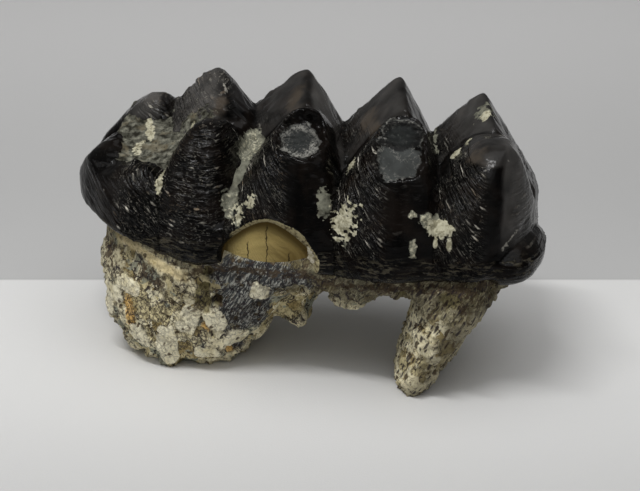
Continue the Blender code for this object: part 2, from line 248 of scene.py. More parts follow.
# patches of silt and dust on the walls: middle, radii, how far they stand out, how creamy they are,
# how ragged their outline is
patches = [
    dict(at=(-62.0, -4.0, 89.6), size=(1.5, 3.5, 3.0), lift=0.4, cream=0.95, ragged=0.5),
    dict(at=(-63.8, 0.0, 90.3), size=(1.9, 4.0, 3.5), lift=0.4, cream=0.95, ragged=0.5),
    dict(at=(-66.0, 5.0, 91.3), size=(1.6, 3.5, 3.5), lift=0.4, cream=0.95, ragged=0.5),
    dict(at=(-45.5, -2.0, 95.0), size=(6.0, 5.5, 6.0), lift=0.2, cream=0.1, ragged=0.7),
    dict(at=(-65.5, -11.0, 87.5), size=(2.6, 5.5, 4.0), lift=0.2, cream=0.6, ragged=0.8),
    dict(at=(-39.5, -0.5, 98.5), size=(5.5, 5.5, 5.0), lift=0.1, cream=0.2, ragged=0.9),
    dict(at=(-49.5, -31.0, 82.5), size=(2.4, 8.0, 7.0), lift=0.2, cream=1.0, ragged=0.8),
    dict(at=(-44.5, -4.0, 93.0), size=(2.0, 7.0, 5.0), lift=0.2, cream=0.75, ragged=0.7),
    dict(at=(-22.5, -33.0, 77.0), size=(4.8, 6.0, 6.0), lift=0.3, cream=0.4, ragged=0.8),
    dict(at=(-20.5, -8.0, 90.0), size=(4.6, 11.0, 8.0), lift=0.0, cream=0.45, ragged=0.35),
    dict(at=(-19.5, -40.0, 76.5), size=(5.0, 6.0, 6.0), lift=0.1, cream=0.7, ragged=1.1),
    dict(at=(-14.0, -39.5, 82.0), size=(3.0, 5.0, 5.0), lift=0.1, cream=0.7, ragged=1.4),
    dict(at=(14.6, -38.5, 82.5), size=(3.4, 4.5, 7.0), lift=0.3, cream=0.15, ragged=0.8),
    dict(at=(20.5, -18.0, 90.5), size=(3.0, 5.0, 4.6), lift=0.4, cream=0.85, ragged=0.8),
    dict(at=(20.8, -38.2, 75.2), size=(3.6, 4.0, 5.0), lift=0.5, cream=0.95, ragged=0.6),
    dict(at=(22.5, -38.0, 76.0), size=(6.5, 6.0, 9.0), lift=0.1, cream=0.8, ragged=1.3),
    dict(at=(58.2, -6.2, 93.4), size=(3.8, 3.6, 2.8), lift=0.4, cream=0.9, ragged=0.4),
    dict(at=(57.8, -38.3, 76.3), size=(6.5, 4.5, 3.4), lift=0.5, cream=1.0, ragged=0.45),
    dict(at=(56.3, -40.6, 71.6), size=(1.0, 3.0, 2.6), lift=0.4, cream=1.0, ragged=0.2),
    dict(at=(61.4, -40.8, 71.2), size=(1.2, 3.0, 2.8), lift=0.4, cream=1.0, ragged=0.2),
    dict(at=(52.5, -38.8, 79.5), size=(3.0, 3.5, 3.0), lift=0.3, cream=0.5, ragged=0.5),
    dict(at=(67.6, 6.1, 104.9), size=(2.4, 3.2, 2.7), lift=0.4, cream=1.0, ragged=0.4),
    dict(at=(67.0, 9.0, 105.6), size=(5.0, 5.0, 5.0), lift=0.0, cream=0.3, ragged=1.4),
    dict(at=(47.4, -40.2, 81.6), size=(2.2, 2.0, 1.6), lift=0.2, cream=0.5, ragged=0.9),
    dict(at=(48.4, -42.9, 69.2), size=(1.8, 2.0, 4.6), lift=0.2, cream=0.5, ragged=0.9),
    dict(at=(64.0, -5.0, 97.5), size=(3.6, 3.0, 1.6), lift=0.2, cream=0.6, ragged=0.5),
]


def planFill(x, y):
    # share of the outline used up, lengthways and in all: a superellipse that is fuller at the front
    ends = np.where(x < 0, np.abs(x / crown["leftReach"]) ** crown["leftFull"],
                    np.abs(x / crown["rightReach"]) ** crown["rightFull"])
    wave = crown["swell"] * np.cos(2 * math.pi * (x - crown["swellAt"]) / crown["pitch"])
    return ends, ends + np.abs(y / (crown["halfWidth"] - crown["swell"] + wave)) ** crown["sideFull"]


def cuspHeight(x, y, tip, left, right, inner, skew, plan, blunt, wall, **marks):
    # height: power-law flanks along the tooth, a full wall outwards, and a sloping crest inwards
    # that falls faster beyond the middle line
    dx = x - tip[0] + skew * (y - tip[1])
    outward = (y - tip[1]) * np.sign(tip[1])
    before = left[0] * np.abs(dx / 10) ** left[1]
    beyond = right[0] * np.abs(dx / 10) ** right[1]
    along = np.where(dx < 0, before, beyond)
    run = crown["halfWidth"] - abs(tip[1])
    outer = (tip[2] - crown["waist"]) * (np.abs(outward) / run) ** wall
    crossed = past(np.abs(outward) - abs(tip[1]), crown["crestSpan"])
    crest = inner * np.abs(outward) + crown["crestFall"] * crossed
    across = np.where(outward > 0, outer, crest)
    fall = (along**plan + across**plan) ** (1 / plan)
    return tip[2] - (np.hypot(fall, blunt) - blunt)


def lumpTop(x, y):
    # the cusps fused by a soft maximum, over a low core
    _, fill = planFill(x, y)
    core = crown["core"] + crown["coreRise"] * np.clip(1 - fill, 0, 1)
    return smoothMax([cuspHeight(x, y, **cusp) for cusp in cusps.values()] + [core], crown["fuse"])


def bank(value, start, slope):
    # a straight slope that begins at the start
    return slope * past(value, start)


def basinSilt(x, y):
    # silt in the hollow behind the first pair of cusps: a sheet that climbs towards the far side
    # and the second cusp, and falls away past its banks
    _, _, cornerY, cornerRun = basin["cornerBank"]
    _, _, rimX, rimRun = basin["rimBank"]
    sheet = basin["level"] + basin["climb"] * y + basin["dish"] * (x - basin["middle"]) ** 2
    sheet = sheet + bank(-y, *basin["nearLift"]) - bank(-x, *basin["heelBank"])
    sheet = sheet - bank(x, *basin["cuspBank"]) - bank(-y, *basin["nearBank"])
    sheet = sheet - bank(x, *basin["cornerBank"][:2]) * np.clip((-y - cornerY) / cornerRun, 0, 1)
    sheet = sheet - bank(-y, *basin["rimBank"][:2]) * np.clip((-x - rimX) / rimRun, 0, 1)
    return sheet - bank(y, *basin["farBank"])


def buildValleyLines():
    # for each valley, the lowest enamel across it at each step of y
    y = np.linspace(-crown["halfWidth"], crown["halfWidth"], 91)
    for valley in valleys:
        x = valley["x"] + np.linspace(-valley["reach"], valley["reach"], 61)
        valley["line"] = lumpTop(x[:, None], y[None, :]).min(axis=0)
        valley["y"] = y


def siltTop(x, y):
    # silt lies as shallow troughs: the valley line raised by its depth, dished across and ended
    # sideways; two flat slices of one noise, 3 and 9 mm up, make it ripple and fray
    ripple = bumps((x, y, 3.0), *trough["ripple"])
    fray = rise(y, *trough["frayRun"]) * np.abs(bumps((x, y, 9.0), *trough["fray"]))
    tops = []
    for valley in valleys:
        base = np.interp(y, valley["y"], valley["line"]) + readLine(valley["depth"], y) + ripple - fray
        off = np.abs(x - valley["x"])
        dish = trough["dish"] * np.minimum(off, trough["dishReach"]) ** 2
        tops.append(base + dish - bank(off, valley["reach"], trough["bank"]))
    tops.append(basinSilt(x, y))
    return np.max(tops, axis=0)


def flatFields(point, at, facing, reach, rough):
    # height over the flat's plane, and distance from its middle within the plane, made ragged
    way = np.array(facing) / np.linalg.norm(facing)
    rel = [v - c for v, c in zip(point, at)]
    above = sum(part * share for part, share in zip(rel, way))
    away = np.sqrt(past(sum(part**2 for part in rel), above**2))
    return above, away + bumps(point, *wear["ragged"])


def windowFields(x, y, z):
    # distance past the window's bowed edge, and the recess, whose floor swells and rim is bevelled
    off = np.abs(x - window["x"])
    bowed = window["steep"] * (z - window["top"] + window["bow"] * off ** window["power"])
    edge = smoothMax([bowed, off - window["half"]], window["blend"])
    swollen = window["swellX"] * (x - window["x"]) ** 2 + window["swellZ"] * (z - window["middleZ"]) ** 2
    bevel = readLine(window["bevel"], x) * np.maximum(edge, 0)
    return edge, y + crown["halfWidth"] - window["depth"] - swollen + bevel


def crownParts(x, y, z):
    # the separate fields whose combination is the crown: positive inside
    ends, fill = planFill(x, y)
    spare = np.clip(1 - fill, 0, 1)
    lumps, silt = lumpTop(x, y), siltTop(x, y)
    top = smoothMax([lumps, silt], crown["siltBlend"])
    waist = crown["waist"] + crown["heelRise"] * np.clip((crown["heelAt"] - x) / crown["heelRun"], 0, 1)
    level = np.clip(1 - ends ** crown["levelPower"], 0, 1)
    (leftHigh, leftPower), (rightHigh, rightPower) = crown["leftShoulder"], crown["rightShoulder"]
    shoulder = waist + np.where(x < 0, leftHigh * level**leftPower, rightHigh * level**rightPower)
    dome = waist + crown["dome"][0] * spare ** crown["dome"][1]
    top = -smoothMax([-top, -dome, -shoulder], crown["topBlend"])
    under = waist - (waist - readLine(lipLine, x)) * spare ** crown["underPower"]
    enamel = np.minimum(top - z, z - under)
    worn = []
    for flat in flats:
        above, away = flatFields((x, y, z), **flat)
        enamel = np.minimum(enamel, -above + bank(away, flat["reach"], wear["bank"]))
        worn.append(flat["reach"] - away - wear["depth"] * np.abs(above))
    edge, pocket = windowFields(x, y, z)
    swollen = lobe["scale"] * blob((x, y, z), lobe["at"], lobe["size"])
    return dict(enamel=enamel, pocket=pocket, edge=edge, lobe=swollen, worn=worn, lumps=lumps, silt=silt)


def crownField(x, y, z):
    # the enamel less the window's recess, joined to the lobe by a soft maximum
    parts = crownParts(x, y, z)
    return smoothMax([np.minimum(parts["enamel"], parts["pocket"]), parts["lobe"]], crown["lobeBlend"])


def crownGrid():
    # rays fan out from a line inside the crown, quarter turns at both ends, and each is halved again
    # and again to where the field changes sign; spokes crowd on the cheek side and the top
    rings, spokes, cap = crown["rings"], crown["spokes"], crown["capShare"]
    share = np.linspace(0, 1, rings)[:, None]
    startX = np.interp(share, [cap, 1 - cap], [crown["axisLeft"], crown["axisRight"]])
    tilt = np.interp(share, [0, cap, 1 - cap, 1], [-math.pi / 2, 0, 0, math.pi / 2])
    turn = np.linspace(-math.pi, math.pi, 721)
    weight = 0.5
    for gain, start, end in crown["crowding"]:
        weight = weight + gain * rise(turn, start, end)
    growth = np.concatenate([[0], np.cumsum((weight[1:] + weight[:-1]) / 2)])
    turn = np.interp(np.arange(spokes) / spokes * growth[-1], growth, turn)[None, :]
    way = [np.sin(tilt), np.cos(tilt) * np.sin(turn), np.cos(tilt) * np.cos(turn)]
    way = np.stack(np.broadcast_arrays(*way), -1)
    low, high = np.zeros((rings, spokes)), np.full((rings, spokes), crown["longestRay"])
    for _ in range(crown["halvings"]):
        middle = (low + high) / 2
        at = way * middle[..., None]
        inside = crownField(startX + at[..., 0], at[..., 1], crown["axisZ"] + at[..., 2]) > 0
        low, high = np.where(inside, middle, low), np.where(inside, high, middle)
    at = way * low[..., None]
    at[..., 0] += startX
    at[..., 2] += crown["axisZ"]
    return at


def gridNormals(grid):
    # cross product of the two grid directions; the grid wraps across
    down = np.gradient(grid, axis=0)
    across = (np.roll(grid, -1, axis=1) - np.roll(grid, 1, axis=1)) / 2
    normal = np.cross(down, across)
    length = np.linalg.norm(normal, axis=-1, keepdims=True)
    normal = normal / np.maximum(length, 1e-9)
    outward = (normal * (grid - np.array([0, 0, crown["axisZ"]]))).sum(-1).mean()
    return normal if outward > 0 else -normal


# where the wrinkles and the painted sheen (tone) of the cusps fade; pairs are start and end of a
# smooth step, and noises are height, size, seed and octaves
strandLook = dict(wander=(0.9, 7, 17, 2), mottle=(0.6, 7, 19, 3), topSheen=0.020, polishRun=(-1.0, 0.5),
                  leftFade=(2.5, 8), rightFade=(2, 8), leftSheen=(-0.5, 2.5), rightSheen=(1.2, 3.2),
                  farSide=(-6, 6), farTop=(92, 101), farFrom=(-30, -22), crest=(-17, -8), crestLoss=0.85,
                  backWall=(26, 36), backDepth=(0, 12), backTop=92, backStrength=0.6, bendReach=3,
                  farSheen=(86, 105), nearSheen=(64, 78), valleyLess=(0, 0.9), valleySheen=(-0.5, 2.0))


def overCrest(t, left, middle, right, leftRun, rightRun):
    # a value that changes from the left flank to the crest's middle and on to the right flank
    return middle + (left - middle) * rise(-t, *leftRun) + (right - middle) * rise(t, *rightRun)


def cuspStrands(x, y, z, tip, skew, wrinkle, tone, **shape):
    # s counts across the wrinkles and q along them: both are the upright plane turned by the slant,
    # and s bends with the square of the distance from the tip; strength and the painted sheen (tone)
    # change over the crest
    look = strandLook
    *strengths, bend, slant = wrinkle
    t = x - tip[0] + skew * (y - tip[1])
    s = (z + slant * x) / math.hypot(1, slant) - bend * np.minimum(t, look["bendReach"]) ** 2
    q = (x - slant * z) / math.hypot(1, slant)
    strength = overCrest(t, *strengths, look["leftFade"], look["rightFade"])
    *tones, polishedFrom = tone
    polished = rise(z - polishedFrom, *look["polishRun"])
    t = t + bumps((x, y, z), *look["wander"])
    flank = overCrest(t, *tones, look["leftSheen"], look["rightSheen"])
    return s, q, strength * (1 - polished), np.maximum(flank, look["topSheen"] * polished)


def strandFrame(x, y, z):
    # every point takes its wrinkles and tone, a painted sheen, from the cusp it belongs to; both fade in
    # the valleys, on the smooth tops of the far side and along the inward crests of the near side
    look = strandLook
    heights = np.array([cuspHeight(x, y, **cusp) for cusp in cusps.values()])
    which = heights.argmax(axis=0)
    # the heel's rim and near cusp (second and third) count as one, so no valley parts them
    grouped = np.concatenate([heights[:1], heights[1:3].max(axis=0)[None], heights[3:]])
    second, first = np.partition(grouped, -2, axis=0)[-2:]
    margin = first - second
    s, q, strength, tone = (np.zeros_like(x) for _ in range(4))
    for index, cusp in enumerate(cusps.values()):
        mine = which == index
        s[mine], q[mine], strength[mine], tone[mine] = cuspStrands(x[mine], y[mine], z[mine], **cusp)
    strength = strength * rise(margin, *look["valleyLess"])
    far = rise(y, *look["farSide"])
    strength = strength * (1 - far * rise(z, *look["farTop"]) * rise(x, *look["farFrom"]))
    strength = strength * (1 - look["crestLoss"] * rise(y, *look["crest"]) * (1 - far))
    back = rise(y, *look["backWall"]) * rise(look["backTop"] - z, *look["backDepth"])
    strength = np.maximum(strength, look["backStrength"] * back)
    # painted sheen: the grey shows only high up on the cusps, and less in the valleys
    tone = tone * (far * rise(z, *look["farSheen"]) + (1 - far) * rise(z, *look["nearSheen"]))
    tone = tone * rise(margin, *look["valleySheen"])
    return s, q, strength, tone * (1 + bumps((x, y, z), *look["mottle"]))


# small knobs on the heel's rim and the cusps: middle, reach and height
knobs = [
    dict(at=(-74.2, -10.8, 88.0), size=2.0, height=2.3),
    dict(at=(-72.2, -16.9, 86.5), size=1.9, height=2.2),
    dict(at=(-71.4, -23.0, 85.0), size=2.1, height=2.2),
    dict(at=(-75.0, -5.5, 89.0), size=1.8, height=1.6),
    dict(at=(-56.9, -28.5, 86.0), size=2.8, height=2.4),
    dict(at=(-67.0, -28.5, 85.0), size=2.4, height=1.8),
    dict(at=(-32.1, -2.9, 101.8), size=1.8, height=1.8),
    dict(at=(-63.0, -22.0, 85.5), size=1.8, height=1.4),
]

# polished brown spots, and thin chalky lines along worn crests: start, end and half width
tints = [((-5, 5, 107), (4.5, 10, 7)), ((-34.5, -2, 103.5), (4, 6, 4.5)), ((22, 8, 99), (5, 8, 6)),
         ((28, -2, 99), (4, 6, 5)), ((70, -22, 98), (6, 9, 5))]
chalkLines = [
    ((-36.9, 11.5, 110.3), (-32.4, 3.0, 105.5), 0.5), ((-72.0, -32.9, 77.9), (-67.8, -28.4, 85.5), 0.35),
    ((-27.7, -14.9, 102.4), (-23.5, -13.6, 92.9), 0.4), ((72.0, -31.0, 97.5), (80.3, -25.1, 99.8), 0.5),
    ((84.6, -27.0, 73.4), (80.4, -34.0, 67.6), 0.8), ((69.0, -15.6, 103.8), (73.4, -4.4, 101.6), 0.5),
    ((73.4, -4.4, 101.6), (77.5, -2.0, 99.5), 0.4), ((38.2, -2.4, 106.9), (42.0, -5.0, 102.0), 0.35),
    ((33.0, 12.6, 110.6), (35.5, 11.0, 109.0), 0.6), ((18.5, -30.0, 88.0), (17.0, -34.0, 83.0), 0.4),
]

chalkShakes = [(0.9, 4, 35, 2), (0.9, 4, 43, 2), (0.9, 4, 45, 2)]  # noises along x, y and z
# noises of the crown: height in mm, size, seed and octaves
crownNoise = dict(siltEdge=(1.3, 5, 11, 3), siltFray=(0.9, 1.9, 59, 2), patchFray=(0.6, 1.7, 31, 3),
                  weave=(0.35, 4, 5, 1), swell=(0.35, 9, 21, 3), siltGrain=(0.42, 1.9, 25, 2),
                  siltLump=(0.8, 6, 29, 2), wornGrain=(0.32, 1.7, 27, 2), valley=(0.75, 3.4, 55, 2),
                  brink=(1.0, 2, 49, 3), chalk=(1.8, 2.2, 47, 1), tint=(0.4, 4, 37, 3))
# heights of the rest of its relief, sizes across and along the strokes, and the runs of smooth
# steps: the window's bare wall, the rim, silt over enamel, and the rough floor of the valleys;
# then how steeply silt counts as cover, its limit, and the depth under its top where it ends
relief = dict(stroke=0.6, furrow=0.26, rimLine=0.3, brink=0.3, brinkHalf=1.1, flake=1.1,
              strokeSize=(2.3, 5.2), furrowSize=(1.5, 4.5, 12), rimLineSize=(14, 14, 1.5),
              bare=(0.0, 0.4), cheek=(20, 30), rimTop=66, rimRun=(0, 4), cover=(-0.3, 0.5),
              valleyHalf=5.5, valleyRun=(74, 80), siltEdge=(1.4, 6, 4))


def lineGap(point, start, end):
    # distance to a straight piece of line: the nearest share along it is clamped to its ends
    way = np.array(end, float) - np.array(start, float)
    rel = [v - c for v, c in zip(point, start)]
    share = np.clip(sum(r * w for r, w in zip(rel, way)) / (way @ way), 0, 1)
    return np.sqrt(sum((r - share * w) ** 2 for r, w in zip(rel, way)))


def thinLines(point, size, seed, width):
    # 1 where a stretched noise crosses zero, falling to 0 over the width
    return np.clip(1 - np.abs(fractal(point, size, seed, 1)) / width, 0, 1)


def siltCover(point, parts):
    # how far the silt stands over the enamel, frayed by two noises, and what the patches add to it:
    # their cover, cream colour and lift
    z = point[2]
    steep, limit, sunk = relief["siltEdge"]
    silt = np.clip((parts["silt"] - parts["lumps"]) * steep, -limit, limit)
    silt = np.where(z > parts["silt"] - sunk, silt, -limit)
    silt = silt + bumps(point, *crownNoise["siltEdge"]) + bumps(point, *crownNoise["siltFray"])
    cream, lift = np.zeros_like(z), np.zeros_like(z)
    fray = bumps(point, *crownNoise["patchFray"]) - 0.15
    for patch in patches:
        inside = blob(point, patch["at"], patch["size"]) + patch["ragged"] * fray
        silt = np.maximum(silt, inside * 3)
        cream = np.maximum(cream, patch["cream"] * rise(inside, -0.15, 0.15))
        lift = np.maximum(lift, patch["lift"] * rise(inside, 0, 0.3))
    return silt, cream, lift


def strokeRelief(point, s, q):
    # short strokes along the wrinkles, as stretched cells of uneven strength, less thin furrows
    width, length = relief["strokeSize"]
    weave = bumps(point, *crownNoise["weave"])
    gap, own = cells(s / width + weave, q / length, np.zeros_like(s) + 0.5, 3)
    stroke = rise(0.5 - gap, 0, 0.32) * (0.25 + 0.75 * own)
    furrow = thinLines((s, q, point[1]), relief["furrowSize"], 4, 0.25)
    return relief["stroke"] * stroke - relief["furrow"] * furrow


def knobRelief(point):
    # each knob is a bell over the distance from its middle
    push = 0.0
    for knob in knobs:
        gap = sum((v - c) ** 2 for v, c in zip(point, knob["at"]))
        push = push + knob["height"] * np.exp(-gap / knob["size"] ** 2)
    return push


def crownMarks(point):
    # what the material alone needs: chalky lines, whose points are shaken by three noises before
    # the distance is taken, and polished brown spots
    shaken = [v + bumps(point, *shake) for v, shake in zip(point, chalkShakes)]
    chalk = np.min([lineGap(shaken, start, end) / width for start, end, width in chalkLines], axis=0)
    chalk = chalk + np.abs(bumps(point, *crownNoise["chalk"]))
    tint = np.max([blob(point, *place) for place in tints], axis=0)
    return dict(chalk=chalk, tint=tint + bumps(point, *crownNoise["tint"]))


def dressCrown(grid):
    # moves each point along its normal by the sum of wrinkles, rim lines, grain and knobs,
    # and keeps what the material needs: silt, wear, window, strands
    normal = gridNormals(grid)
    x, y, z = point = grid[..., 0], grid[..., 1], grid[..., 2]
    parts = crownParts(x, y, z)
    silt, cream, lift = siltCover(point, parts)
    inPocket = parts["enamel"] - parts["pocket"]
    bare = rise(inPocket, *relief["bare"]) * rise(-y, *relief["cheek"])
    worn = smoothMax(parts["worn"], wear["blend"])
    rough = np.zeros_like(x)
    for flat, signed in zip(flats, parts["worn"]):
        rough = np.maximum(rough, flat["rough"] * rise(signed, *wear["edge"]))
    rim = rise(relief["rimTop"] - z, *relief["rimRun"]) * rise(np.abs(y), *relief["cheek"])
    s, q, strength, tone = strandFrame(x, y, z)
    cover = (1 - rise(silt, *relief["cover"])) * (1 - bare)
    lines = thinLines(point, relief["rimLineSize"], 8, 0.3)
    middles = [np.exp(-((x - valley["x"]) / relief["valleyHalf"]) ** 2) for valley in valleys]
    sunk = np.max(middles, axis=0) * rise(z, *relief["valleyRun"]) * (1 - rise(silt, 0, 1.5))
    brink = np.clip(1 - np.abs(worn - 0.3) / relief["brinkHalf"], 0, 1)
    noise = {name: bumps(point, *crownNoise[name])
             for name in ("swell", "siltGrain", "siltLump", "wornGrain", "brink", "valley")}
    flake = blob(point, **flakePlace)
    push = strokeRelief(point, s, q) * strength * cover * (1 - rise(worn, -1, 0))
    push = push + relief["rimLine"] * lines * rim * cover + noise["swell"] * (1 - bare)
    push = push + noise["siltGrain"] * rise(silt, -0.2, 0.8) * (1 - 0.6 * cream)
    push = push + noise["siltLump"] * rise(silt, 0.2, 2.0) + noise["wornGrain"] * rough
    push = push + relief["brink"] * brink * (1 + noise["brink"]) + noise["valley"] * sunk
    push = push + lift + knobRelief(point) + relief["flake"] * rise(flake, 0.0, 0.25)
    # tone carries the painted sheen of the cusps' flanks and polished tops
    fields = dict(silt=silt, cream=cream, bare=inPocket, edge=parts["edge"], worn=worn, rough=rough,
                  strandS=s, strandQ=q, strand=strength, tone=tone, rim=rim,
                  lip=z - readLine(lipLine, x), flake=flake, **crownMarks(point))
    return grid + normal * push[..., None], fields


def linkMesh(name, mesh, fields):
    # an object of smooth faces, with each field as an attribute of its points
    mesh.polygons.foreach_set("use_smooth", np.ones(len(mesh.polygons), bool))
    for key, values in fields.items():
        layer = mesh.attributes.new(key, "FLOAT", "POINT")
        layer.data.foreach_set("value", np.asarray(values, np.float32))
    mesh.update()
    piece = bpy.data.objects.new(name, mesh)
    bpy.context.scene.collection.objects.link(piece)
    return piece


def gridMesh(name, grid, fields):
    # the first and last rings are single points, so fans close the poles
    rings, spokes, _ = grid.shape
    points = np.concatenate([grid[1:-1].reshape(-1, 3), grid[0, :1], grid[-1, :1]])
    count = (rings - 2) * spokes
    index = np.arange(count).reshape(rings - 2, spokes)
    right = np.roll(index, -1, axis=1)
    quads = np.stack([index[:-1], right[:-1], right[1:], index[1:]], -1).reshape(-1, 4)
    first = np.stack([right[0], index[0], np.full(spokes, count)], -1)
    last = np.stack([index[-1], right[-1], np.full(spokes, count + 1)], -1)
    triangles = np.concatenate([first, last])
    kept = {key: np.concatenate([v[1:-1].ravel(), v[0, :1], v[-1, :1]]) for key, v in fields.items()}
    corners = (points - points.mean(0))[quads[:, :3]]
    if np.linalg.det(corners).sum() < 0:  # the faces point inwards, so they are turned round
        quads, triangles = quads[:, ::-1], triangles[:, ::-1]
    mesh = bpy.data.meshes.new(name)
    mesh.from_pydata(((points - shift) * mm).tolist(), [], quads.tolist() + triangles.tolist())
    return linkMesh(name, mesh, kept)


buildValleyLines()
crownPoints, crownFields = dressCrown(crownGrid())
crownPiece = gridMesh("crownEnamel", crownPoints, crownFields)
print("crown", len(crownPiece.data.polygons), "faces")


# the roots: lofted sections fused into one skin, then layers, fibres and pits

# rows are height, middle x, middle y, half x, half y, squareness
roots = dict(voxel=0.752, rings=60, spokes=160, sections={
    "heel": [(-4, -47, 1, 18, 20, 2.3), (0, -47, 1, 22.5, 23, 2.3), (5, -48.5, 0, 26.3, 28, 2.4),
             (11, -47.5, 0, 30, 31.5, 2.5), (20, -46.3, 0, 34.6, 34, 2.7), (30, -42, 0, 40.0, 36, 2.8),
             (40, -37, 0, 45.2, 38, 2.8), (46, -35, 0, 47.5, 38.5, 2.7), (60, -32, 0, 48, 36, 2.4)],
    "toe": [(-4, -51.5, -18, 4.5, 8, 2.6), (0, -51.5, -18, 5.0, 9, 2.6), (8, -51, -21, 5.2, 10, 2.6),
            (16, -50, -24, 4.6, 9, 2.4), (24, -49, -26, 3.0, 7, 2.2)],
    "front": [(-4, 47.5, -6, 4, 21, 2.2), (0, 47.5, -6, 7, 24.5, 2.2), (6, 48.7, -6, 9.5, 27, 2.4),
              (15, 51.6, -5, 11.2, 29.5, 2.4), (26, 56.5, -4, 12.9, 32, 2.6), (38, 60.5, -3, 15.8, 35, 2.6),
              (50, 62, -2, 19, 38, 2.6), (60, 62, 0, 20, 34, 2.4)],
    "stub": [(36, 22, -26, 4.5, 5, 2.2), (40, 23, -26, 8, 9, 2.4), (44, 25, -24, 11.5, 12, 2.4),
             (48, 27, -22, 17, 15, 2.4), (60, 27, -18, 19, 18, 2.4)],
    "flap": [(14, -2, -5, 2.0, 4, 2.2), (17, -4, -4, 6.0, 7, 2.4), (22, -7, -2, 9.5, 11, 2.4),
             (30, -7, 0, 13, 16, 2.4), (46, -4, 0, 16, 22, 2.2)],
    "neck": [(44, 3, 0, 75, 33, 3.4), (48, 3, 0, 81.5, 38, 3.4), (56, 3, 0, 82.5, 40, 3.4),
             (60, 4, 0, 80, 38, 3.4)],
})

# pale plates that stand proud: middle, radii and lean
plates = [
    ((-50.5, -32, 12), (4.6, 9, 11), 0.10), ((-40.0, -35, 27), (4.2, 7, 8), 0.35),
    ((-29.4, -35, 28), (4.4, 7, 6), -0.25), ((-72.5, -29, 33), (5, 8, 4.5), 0.0),
    ((-11.0, -35.5, 43), (3.4, 6, 4.2), 0.3), ((-62, -32, 15), (4.0, 9, 6), -0.2),
    ((-35, -31, 10), (5, 9, 3.4), 0.1), ((-64, -33, 39), (5.5, 8, 3.8), 0.3),
    ((-23, -30, 17), (4.5, 9, 5), 0.5), ((-58, 32, 33), (5, 9, 8), 0.3),
    ((-40, 32, 17), (8, 9, 5), -0.2), ((-76.5, -24, 24), (3, 7, 6), 0.2),
    ((-20, 32, 26), (5, 9, 7), 0.4), ((-74, 14, 22), (5, 7, 9), 0.1),
    ((60, 30, 26), (5, 9, 8), -0.4), ((-76, -8, 30), (7, 6, 7), 0.2),
    ((50, 26, 10), (5, 9, 6), -0.3),
]
# hollows that are sunk: middle, radii and depth
hollows = [
    ((-33, -38, 38.5), (3.2, 6, 7.5), 2.0), ((-27.7, -38, 38.2), (1.9, 4, 3.2), 3.0),
    ((-31, -39, 49.8), (2.0, 5, 2.2), 1.5), ((44, -36, 46), (2.4, 5, 3.0), 2.5),
    ((62, -40, 47), (4.5, 4, 5.0), 1.2),
]
# stains, and places that are dull or speckled: middle and radii
stains = dict(
    blue=[((-17, -34, 34), (13, 22, 20)), ((-12, -38, 50), (22, 16, 10)), ((-24, -28, 12), (5, 12, 6)),
          ((-24, 36, 38), (22, 20, 14)), ((-88, 6, 12), (9, 26, 8))],
    brown=[((-57.5, -37, 46.5), (7, 10, 6)), ((-53, -37, 41.5), (5, 8, 4.5)), ((-74, -27, 49), (5, 12, 9)),
           ((66, -38, 47), (9, 8, 6)), ((-66, 30, 47), (12, 12, 7)), ((-8, 36, 50), (16, 9, 6)),
           ((-80, -6, 48), (8, 12, 6)), ((62, 34, 50), (12, 9, 6)), ((-50, 34, 28), (8, 8, 6))],
    orange=[((-65, -32.5, 26), (3.0, 10, 12)), ((-33, -36, 24), (3, 8, 3)), ((-27, -25, 10), (1.6, 8, 4.5)),
            ((-62, -33, 37), (3, 8, 2))],
    dull=[((-29, -35, 33), (17, 20, 18)), ((-30, -30, 8), (12, 12, 7)), ((64, -34, 28), (9, 14, 14))],
    speckled=[((-57, -36, 33), (14, 14, 9)), ((-78, -26, 26), (7, 20, 10)), ((-40, -36, 36), (9, 8, 8)),
              ((-46, -34, 20), (16, 12, 14))],
)
# noises of the roots: height in mm, size along x, y and z, seed and octaves
rootNoise = dict(lump=(1.5, (13, 13, 17), 41, 3), foot=(1.3, 5, 91, 3), fibre=(0.3, (1.6, 1.6, 9), 71, 2),
                 outer=(1.0, (13, 13, 18), 51, 3), outerFray=(0.35, 3.2, 54, 2),
                 inner=(1.0, (8, 8, 11), 61, 3), innerFray=(0.4, 2.4, 64, 2),
                 pitShake=(0.4, 4, 85, 3), fray=(0.45, 3.5, 87, 2))
# heights of the rest of their relief, cell sizes of the pits, and the lean of the front root as the
# shares of up and along in its direction
rootRelief = dict(outer=0.9, inner=0.7, sink=0.6, pit=0.9, plate=0.8, plateCalm=0.45,
                  slitSize=(2.3, 3.0, 8.0), pitSize=(3.2, 3.2, 3.6), frontRun=(28, 36),
                  footTop=12, rootTop=55)
leanUp, leanAlong = 0.89, 0.45


def loft(rows, rings, spokes):
    # superellipse sections whose sizes run evenly from row to row
    rows = np.array(rows, float)
    at = np.linspace(rows[0, 0], rows[-1, 0], rings)
    middleX, middleY, halfX, halfY, square = [np.interp(at, rows[:, 0], c)[:, None] for c in rows[:, 1:].T]
    turn = np.linspace(0, 2 * math.pi, spokes, endpoint=False)[None, :]
    c, s = np.cos(turn), np.sin(turn)
    reach = (np.abs(c) ** square + np.abs(s) ** square) ** (-1 / square)
    x = middleX + halfX * reach * c
    y = middleY + halfY * reach * s
    return np.stack([x, y, np.broadcast_to(at[:, None], x.shape)], -1)


def withEnds(grid):
    # a ring of one repeated point at each end lets the fans close the loft
    ends = [np.repeat(grid[k].mean(0)[None, None], grid.shape[1], 1) for k in (0, -1)]
    return np.concatenate([ends[0], grid, ends[1]])


